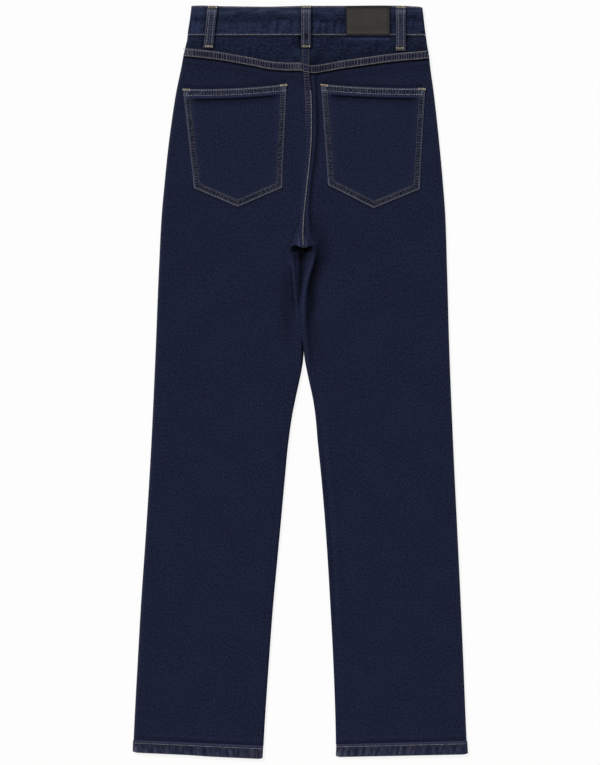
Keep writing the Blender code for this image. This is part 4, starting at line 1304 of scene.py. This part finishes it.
def makeButton():
    first, *profile, last = button["profile"]
    radius, height = np.array(profile).T[:, :, None]
    turn = np.linspace(0, 2 * math.pi, button["steps"], endpoint=False)
    middle = (button["x"], garment["waistY"] - button["drop"])
    x, y = middle[0] + radius * np.cos(turn), middle[1] + radius * np.sin(turn)
    rings = np.broadcast_arrays(x, y, height)
    points = np.stack(rings, axis=-1).reshape(-1, 3)
    poles = [(*middle, first[1]), (*middle, last[1])]
    index = np.arange(len(points)).reshape(rings[0].shape)
    faces = gridFaces(index, closed=True).tolist()
    fans = ((index[0], np.roll(index[0], -1)), (np.roll(index[-1], -1), index[-1]))
    for pole, fan in enumerate(fans):  # a fan of faces to each pole
        faces += [(len(points) + pole, *pair) for pair in np.stack(fan, axis=-1).tolist()]
    mesh = bpy.data.meshes.new("button")
    mesh.from_pydata(np.concatenate([points, poles]) * mm, [], faces)
    mesh.materials.append(finishes["brass"])
    mesh.shade_smooth()
    mesh.set_sharp_from_angle(angle=math.radians(50))
    return shown("button_brass", mesh)


# The hems: a ring of turned-up cloth round each leg's foot


def hemStations():  # round the ring: a share of its flat width, the height, and the bulge
    low, high = garment["turnUp"] / 2 + 0.2, garment["hemBack"]
    radius = (high - low) / 2
    turn = np.radians(steps(0, 162, 18))
    rise, bulge = radius * (1 - np.cos(turn)), radius * np.sin(turn)
    return joined(
        (steps(0.985, 0.015, 0.0125), low, 0.0),
        (0.0, low + rise, -bulge),
        (steps(0.0, 1.0, 0.0115), high, 0.0),
        (1.0, high - rise[1:], bulge[1:]),
        (1.0, np.array([low]), 0.0),
    )


def hemPlace(side, u, bulge, share):
    inset = garment["turnUp"] / 2 + (garment["hemBack"] - garment["turnUp"] / 2) / 2
    x = side * garment["halfWaist"] + 0 * (u + share)
    flareOut, flareIn = hem["flare"][side]
    for _ in range(5):
        foot = hemLine(side, x, hem["footDrops"][side])
        foot += hem["footSwell"][side] * ease(side * x, 165, 125)
        drop = mix(hemTop(side, x), foot, share)
        outer = sideFace[side](drop) - side * (inset - flareOut * ease(share, -0.12, 0.08))
        inner = legFace[side](drop) + side * (inset - flareIn * ease(share, 0.2, 0.8))
        x = mix(outer, inner, u) - side * bulge
    corner = bell(x - sideFace[side](drop), 3.2) + bell(x - legFace[side](drop), 3.2)
    return x, drop - 1.4 * corner * ease(share, 0.6, 1.0)


def makeHem(side):
    u, z, bulge = hemStations()
    share = np.concatenate([[0, 0.03, 0.08], steps(0.13, 0.9, 0.07), [0.95, 1]])[:, None]
    x, drop = hemPlace(side, u[None, :], bulge[None, :], share)
    down = drop - hemTop(side, x)
    fromFoot = hemLine(side, x, hem["footDrops"][side]) - drop
    slanted = waves(x * side + down * hem["slant"][side], hem["puckerSize"], 51 + side)
    thin = ease(waves(x * side + down * hem["slant"][side], 6.5, 56 + side), 0.5, 0.9)
    puckers = hem["pucker"] * slanted * ease(down, 5.0, 8) * (1 - 0.6 * ease(down, 13, 18))
    relief = puckers - 0.25 * bell(down - hem["stitchDrop"][side], 0.9) - 0.44 * bell(fromFoot, 2.6)
    run = np.broadcast_to(np.cumsum(np.abs(np.diff(u, prepend=u[:1]))) * hem["width"], x.shape)
    blotch, lowPart = ripples(x, 0.4 * down, 10, 58 + side), ease(down, 4.4, 6.5)
    leftEnd = x - (sideFace[left] if side == left else legFace[right])(drop)  # which faces the light
    wear = 0.085 * ease(slanted, 0.15, 0.75) + 0.15 * thin + 0.085 * ease(blotch, -0.1, 0.7)
    wear = wear * lowPart + 0.105 * bell(down, 2.8) + 0.12 * bell(fromFoot, 1.0)
    # painted highlight on each hem's left end, which faces the light
    wear += 0.26 * bell(leftEnd - 2.5, 3.8) * ease(share, 0.3, 0.6) * ease(z, 1.2, 3.6)
    grid = dict(x=x, drop=drop, z=z + relief * ease(z, 3.0, 4.9), wear=np.clip(wear, 0, 1))
    grid.update(wash=0.16 * fade(down, 2.6, 4.0) + 0.13 * blotch * lowPart)
    grid.update(pucker=0.16 * ease(down, 4.2, 6.0), shade=0.22 * window(down, 4.4, 6.0, 9, 15))
    grid.update(run=run, inset=down, u=run, v=down)
    if side == right:
        grid = {key: value[:, ::-1] for key, value in grid.items()}
    name = f"hem_{sideNames[side]}"
    return makeCloth(name, grid, "hem", 0.5, garment["turnUp"], closed=True)


makers = (makeBack, makeYoke, makeYokeLap, makeFront, makeFacing, makePocket, makeHem)
made = [make(side) for side in (left, right) for make in makers]
made += [makeSeatLap(), makeShield(), makeBand(), *(makeLoop(name) for name in loops), makeLabel()]
pieces = {piece.name.removesuffix("_cloth"): piece for piece in made}  # each under its node's name
pieces["button"] = makeButton()
print("cloth pieces made:", len(pieces))


# Sewing: a tree that lays stitches along a path, and one that runs a thread along it


def newTree(name, sizes, build):
    tree = bpy.data.node_groups.new(name, "GeometryNodeTree")
    for size, kind in {"Geometry": "Geometry", **sizes, "Thread": "Material"}.items():
        tree.interface.new_socket(size, in_out="INPUT", socket_type="NodeSocket" + kind)
    tree.interface.new_socket("Geometry", in_out="OUTPUT", socket_type="NodeSocketGeometry")
    nodes = NodeSet(tree)
    given = nodes.add("NodeGroupInput").outputs
    path = nodes.add("GeometryNodeMeshToCurve", {}, {"Mesh": given["Geometry"]}).outputs[0]
    sewn = build(nodes, given, path)
    real = nodes.add("GeometryNodeRealizeInstances", {}, {"Geometry": sewn}).outputs[0]
    ready = nodes.add("GeometryNodeSetMaterial", {}, {"Geometry": real, "Material": given["Thread"]})
    nodes.add("NodeGroupOutput", {}, {"Geometry": ready.outputs[0]})
    return tree


def layStitches(nodes, given, path):
    spaced = {"Curve": path, "Length": given["Spacing"]}
    spots = nodes.add("GeometryNodeCurveToPoints", {"mode": "LENGTH"}, spaced).outputs
    ball = nodes.add("GeometryNodeMeshUVSphere", {}, {"Segments": 6, "Rings": 4, "Radius": 0.5})
    smooth = nodes.add("GeometryNodeSetShadeSmooth", {}, {"Geometry": ball.outputs[0]})
    uneven = {"Min": 0.82, "Max": 1.08, "Seed": given["Seed"]}
    share = nodes.signal("FunctionNodeRandomValue", {"data_type": "FLOAT"}, uneven, 1)
    size = {"X": given["Width"], "Y": given["Width"], "Z": Signal(nodes, given["Length"]) * share}
    placed = {"Points": spots["Points"], "Rotation": spots["Rotation"], "Instance": smooth.outputs[0]}
    placed["Scale"] = nodes.add("ShaderNodeCombineXYZ", {}, size).outputs[0]
    return nodes.add("GeometryNodeInstanceOnPoints", {}, placed).outputs[0]


def runThread(nodes, given, path):
    fiveSided = {"Resolution": 5, "Radius": given["Radius"]}
    ring = nodes.add("GeometryNodeCurvePrimitiveCircle", {}, fiveSided).outputs[0]
    wrapped = {"Curve": path, "Profile Curve": ring, "Fill Caps": True}
    return nodes.add("GeometryNodeCurveToMesh", {}, wrapped).outputs[0]


stitchSizes = {"Spacing": "Float", "Length": "Float", "Width": "Float", "Seed": "Int"}
stitches = newTree("Stitches", stitchSizes, layStitches)
thread = newTree("Thread", {"Radius": "Float"}, runThread)
stitch = {"Spacing": 3.5, "Length": 3.1, "Width": 0.85}
tack = {"width": 2.9, "pitch": 0.44, "radius": 0.42}
threadLift = 0.12


def runTree(name, tree, paths, finish="thread", **values):
    points = np.concatenate(paths)
    links = np.arange(len(points) - 1)
    ends = np.cumsum([len(path) for path in paths]) - 1
    links = links[~np.isin(links, ends)]
    placed = np.stack([points[:, 0], garment["waistY"] - points[:, 1], points[:, 2]], axis=-1) * mm
    mesh = bpy.data.meshes.new(name)
    mesh.from_pydata(placed, np.stack([links, links + 1], axis=-1).tolist(), [])
    draft = shown(name + "_path", mesh)
    nodes = draft.modifiers.new("Sewing", "NODES")
    nodes.node_group = tree
    values["Thread"] = finishes[finish]
    for item in tree.interface.items_tree:
        if item.item_type == "SOCKET" and item.in_out == "INPUT" and item.name in values:
            nodes[item.identifier] = values[item.name]
    pieces[name] = settled(draft, name)


def sew(name, paths, finish="thread", **sizes):
    inMetres = {size: value * mm for size, value in {**stitch, **sizes}.items()}
    runTree(name, stitches, list(paths), finish, Seed=7, **inMetres)


def pathAt(x, drop, z, lowest=0.0):
    return np.stack([x, drop, np.maximum(z, lowest)], axis=-1)


def outward(x, drop, z, reach, lowest=0.0):  # a path beside a strip, moved out square to it
    dx, dz = np.gradient(x), np.gradient(z)
    out = reach / np.hypot(dx, dz)
    return pathAt(x - dz * out, drop, z + dx * out, lowest)


def straight(start, end, size=2.0):
    return np.linspace(start, end, max(2, round(math.dist(start, end) / size)))


def insetCorners(corners, inset):  # the corners of a line run inside an open outline
    corners = np.array(corners, float)
    middle = corners.mean(axis=0)
    sides = []
    for start, end in zip(corners[:-1], corners[1:]):
        along = (end - start) / np.linalg.norm(end - start)
        inward = np.array([-along[1], along[0]])
        inward *= math.copysign(1.0, (middle - start) @ inward)
        sides.append((start + inward * inset, along))
    found = [sides[0][0]]
    for (first, alongFirst), (second, alongSecond) in zip(sides[:-1], sides[1:]):
        t = np.linalg.solve(np.stack([alongFirst, -alongSecond], axis=1), second - first)[0]
        found.append(first + alongFirst * t)
    lastStart, lastAlong = sides[-1]
    return [*found, lastStart + lastAlong * np.linalg.norm(corners[-1] - corners[-2])]


def pocketLine(side, inset, start):
    corners = insetCorners(pocket[side], inset)
    flat = np.concatenate([straight(a, b) for a, b in zip(corners[:-1], corners[1:])])
    x, drop = flat[flat[:, 1] > mouthDrop(side, flat[:, 0]) + start].T
    return [pathAt(x, drop, pocketTop(side, x, drop) + threadLift)]


def mouthPaths(side):
    x = steps(pocket[side][0][0] - side * 1.6, pocket[side][-1][0] + side * 1.6, 2.0)
    for line in pocketLook["mouthLines"]:
        drop = mouthDrop(side, x) + line
        yield pathAt(x, drop, pocketTop(side, x, drop) + threadLift)


def yokePaths():
    away = lap["width"] / 2 - lap["stitchIn"]
    for side, past in ((left, 3.0), (right, 6.0)):
        x = steps(outerEdge(side, 85.0) - side * 2.5, garment["centreX"] + past, 2.0)
        for across in (-away, away):
            drop = yokeDrop(x) + across
            yield pathAt(x, drop, lapTop(x, drop) + threadLift)


def seatPath(across, start, end):
    drop = steps(start, end, 2.0)
    x = seatLine(drop) + across * (lapWidth(drop) / 2 - 1.3)
    return pathAt(x, drop, lapTop(x, drop) + threadLift)


def bandPath(fromTop):
    shape = bandShape(np.array([fromTop / (garment["bandDrop"] - garment["bandTop"])]))
    x, drop, z, back = (np.broadcast_to(values, shape[0].shape)[0] for values in shape)
    path = outward(x, drop, z, garment["band"] / 2 + 0.1)
    underLabel = (fromTop > 20) * back * (x > label["span"][0]) * (x < label["span"][1])
    path[:, 2] += bandPucker(x, garment["bandTop"] + fromTop, back) - 1.4 * underLabel
    return [path]


def hemPath(side):
    u, z, bulge = hemStations()
    x, drop = hemPlace(side, u, bulge, hem["stitchDrop"][side] / hem["depth"])
    ring = outward(x, drop, z, -side * (garment["turnUp"] / 2 + 0.02), 0.55)
    return np.concatenate([ring, ring[:1]])


def loopPaths():
    away = loopForm["width"] / 2 - loopForm["stitchIn"]
    for name in loops:
        up = (-1 if "front" in name else 1) * (garment["loop"] / 2 - 0.1)
        for across in (-away, away):
            x, drop, z = loopPoint(name, across, steps(0.03, 0.95, 0.035))
            yield pathAt(x, drop, z + up, 0.4)


def underFront(side, x, drop):
    return pathAt(x, drop, frontHeight(side, x, drop) - garment["cloth"] / 2 - 0.1, 0.45)


def frontPaths():
    middle = garment["centreX"]
    for side in (left, right):
        mouthX = float(sideFace[side](50)) - side * front["scoopWidth"]
        drop = steps(frontTop(mouthX) + 1, 148, 1.5)
        for inset in (1.6, 8.0):
            yield underFront(side, outerEdge(side, drop) - side * (scoop(drop) + inset), drop)
    for inset in (0.0, 6.4):  # the fly: straight down, then round to the seam
        turn = np.radians(steps(0, 90, 4))
        reach = front["flyWidth"] - inset
        down = steps(float(frontTop(middle)) + 1, front["flyDrop"] - reach, 2.0)
        x = np.concatenate([np.full(len(down), middle - reach), middle - reach * np.cos(turn)])
        drop = np.concatenate([down, front["flyDrop"] - reach + reach * np.sin(turn)])
        yield underFront(left, x, drop)
    drop = steps(62, 338, 2.0)
    for side in (left, right):  # down the middle of the front
        yield underFront(side, seatLine(drop) + side * 2.2, drop)


def zigzag(x, drop, z):  # a thread run back and forth over a bar, given the bar's two ends
    start, end = np.stack(np.broadcast_arrays(x, drop, z), axis=-1)
    along = (end - start)[:2]
    length = np.linalg.norm(along)
    thread = np.linspace(start, end, max(4, round(length / tack["pitch"])))
    swing = np.where(np.arange(len(thread)) % 2, 1, -1)[:, None] * tack["width"] / 2
    thread[:, :2] += swing * np.array([-along[1], along[0]]) / length
    return thread


def tackPaths():
    for side in (left, right):
        for corner, inward in ((pocket[side][0], -side), (pocket[side][-1], side)):
            x = corner[0] + inward * np.array([-0.1, 9.5])
            drop = mouthDrop(side, x) + 1.2
            yield zigzag(x, drop, pocketTop(side, x + inward * 2, drop + 2) + 0.3)
    for name in loops:
        foot = (0.94, (-6.4, 3.0)) if name == "belt_loop_back_right" else (0.955, (-4.8, 4.8))
        for share, ends in ((0.028, (-5.6, 5.6)), foot):
            x, drop, z = loopPoint(name, np.array(ends), share)
            yield zigzag(x, drop, 0.44 if "front" in name else z + garment["loop"] / 2 + 0.12)


sew("stitching_yoke", yokePaths(), Spacing=3.2, Width=0.85)
sew("stitching_seat", [seatPath(1, 124, 342.6)], "pale", Spacing=3.0, Width=0.76)
sew("stitching_seat_left", [seatPath(1, 60, 122), seatPath(-1, 60, 172.0)], "dim", Width=0.6)
sew("stitching_waistband_top", bandPath(band["topStitch"]), Width=0.9)
bandDepth = garment["bandDrop"] - garment["bandTop"]
sew("stitching_waistband", bandPath(bandDepth - band["lowStitch"]), Spacing=3.3, Width=1.15)
for side, sideName in sideNames.items():
    outerLine = pocketLine(side, pocketLook["outerLine"], 1.5)
    innerLine = pocketLine(side, pocketLook["innerLine"], 10.0)
    sew(f"stitching_pocket_{sideName}", outerLine, "dim", Width=0.6)
    sew(f"stitching_pocket_inner_{sideName}", innerLine, "dim", Width=0.5)
    sew(f"stitching_mouth_{sideName}", mouthPaths(side), "pale")
sew("stitching_hems", map(hemPath, (left, right)), Spacing=3.1, Width=1.0)
sew("stitching_belt_loops", loopPaths(), "pale", Width=0.35)
sew("stitching_front", frontPaths())
runTree("bar_tacks", thread, list(tackPaths()), "gold", Radius=tack["radius"] * mm)
print("sewing made")


# What each piece stands for, by the start of its name: the width, the length and the area
# that show, in metres, and what it rests on
sheets = {
    "back": (0.213, 0.992, 0.190, "front"),
    "yoke": (0.190, 0.048, 0.0065, "waistband"),
    "yoke_seam": (0.180, 0.0114, 0.00200, "back"),
    "front": (0.213, 1.022, 0.193, "floor"),
    "front_pocket_facing": (0.072, 0.104, 0.0062, "front"),
    "back_pocket": (0.151, 0.172, 0.0222, "back"),
    "hem": (0.392, 0.0185, 0.0072, "floor"),
    "seat_seam": (0.0104, 0.285, 0.0028, "back_right"),
    "fly_shield": (0.038, 0.160, 0.0058, "front_right"),
    "waistband": (0.720, 0.043, 0.0305, "belt_loop_front_left"),
    "belt_loop_back": (0.0148, 0.062, 0.00091, "waistband"),
    "belt_loop_front": (0.0148, 0.062, 0.00091, "floor"),
}

floorLook = {"Base Color": (0.12, 0.12, 0.12, 1), "Roughness": 0.9, "Specular IOR Level": 0.0}
floorLook.update({"Emission Color": (1.0, 1.0, 1.0, 1), "Emission Strength": 0.862})
floorMesh = bpy.data.meshes.new("floor")
floorHalf = 4.0
floorCorners = [(x * floorHalf, y * floorHalf, 0) for x, y in ((-1, -1), (1, -1), (1, 1), (-1, 1))]
floorMesh.from_pydata(floorCorners, [], [(0, 1, 2, 3)])
floorMesh.materials.append(newFinish("floor", floorLook)[0])
shown("floor", floorMesh)

slotNames = {"label": "leather", "button": "button_metal"}
for name, piece in pieces.items():
    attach(piece, "root")
    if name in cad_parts:
        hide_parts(name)
for name, piece in pieces.items():
    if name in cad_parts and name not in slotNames:
        width, length, area, under = sheets[max(filter(name.startswith, sheets), key=len)]
        onSameSide = f"{under}_{name.rsplit('_', 1)[-1]}"
        onSameSide if onSameSide in pieces else under
print("pieces joined to the frame")


# Light, camera and background
studio = {
    "sunStrength": 3.15,
    "sunTurn": 132.0,  # degrees from +X, so from the upper left
    "sunHeight": 42.0,
    "sunSoftness": 16.0,
    "sky": 0.36,
    "lens": 250.0,
    "viewHeight": 1.1016,
    "aimX": -0.0003,
    "aimY": -0.0013,
}


def makeLight():
    lamp = bpy.data.lights.new("sun", "SUN")
    lamp.energy = studio["sunStrength"]
    lamp.angle = math.radians(studio["sunSoftness"])
    lamp.color = (1.0, 0.985, 0.96)
    turn, height = math.radians(studio["sunTurn"]), math.radians(studio["sunHeight"])
    level = math.cos(height)
    towards = Vector((math.cos(turn) * level, math.sin(turn) * level, math.sin(height)))
    shown("sun", lamp).rotation_euler = towards.to_track_quat("Z", "Y").to_euler()
    world = bpy.context.scene.world or bpy.data.worlds.new("studio")
    bpy.context.scene.world = world
    world.use_nodes = True
    sky = world.node_tree.nodes["Background"]
    sky.inputs["Color"].default_value = (0.97, 0.985, 1.0, 1)
    sky.inputs["Strength"].default_value = studio["sky"]


def makeCamera():
    data = bpy.data.cameras.new("camera")
    data.lens = studio["lens"]
    data.clip_end = 50.0
    camera = shown("camera", data)
    away = studio["viewHeight"] * studio["lens"] / data.sensor_width
    camera.location = (studio["aimX"], studio["aimY"], away)
    bpy.context.scene.camera = camera


makeLight()
makeCamera()
bpy.context.scene.view_settings.view_transform = "Standard"
bpy.context.scene.view_settings.look = "None"
print("light and camera placed")
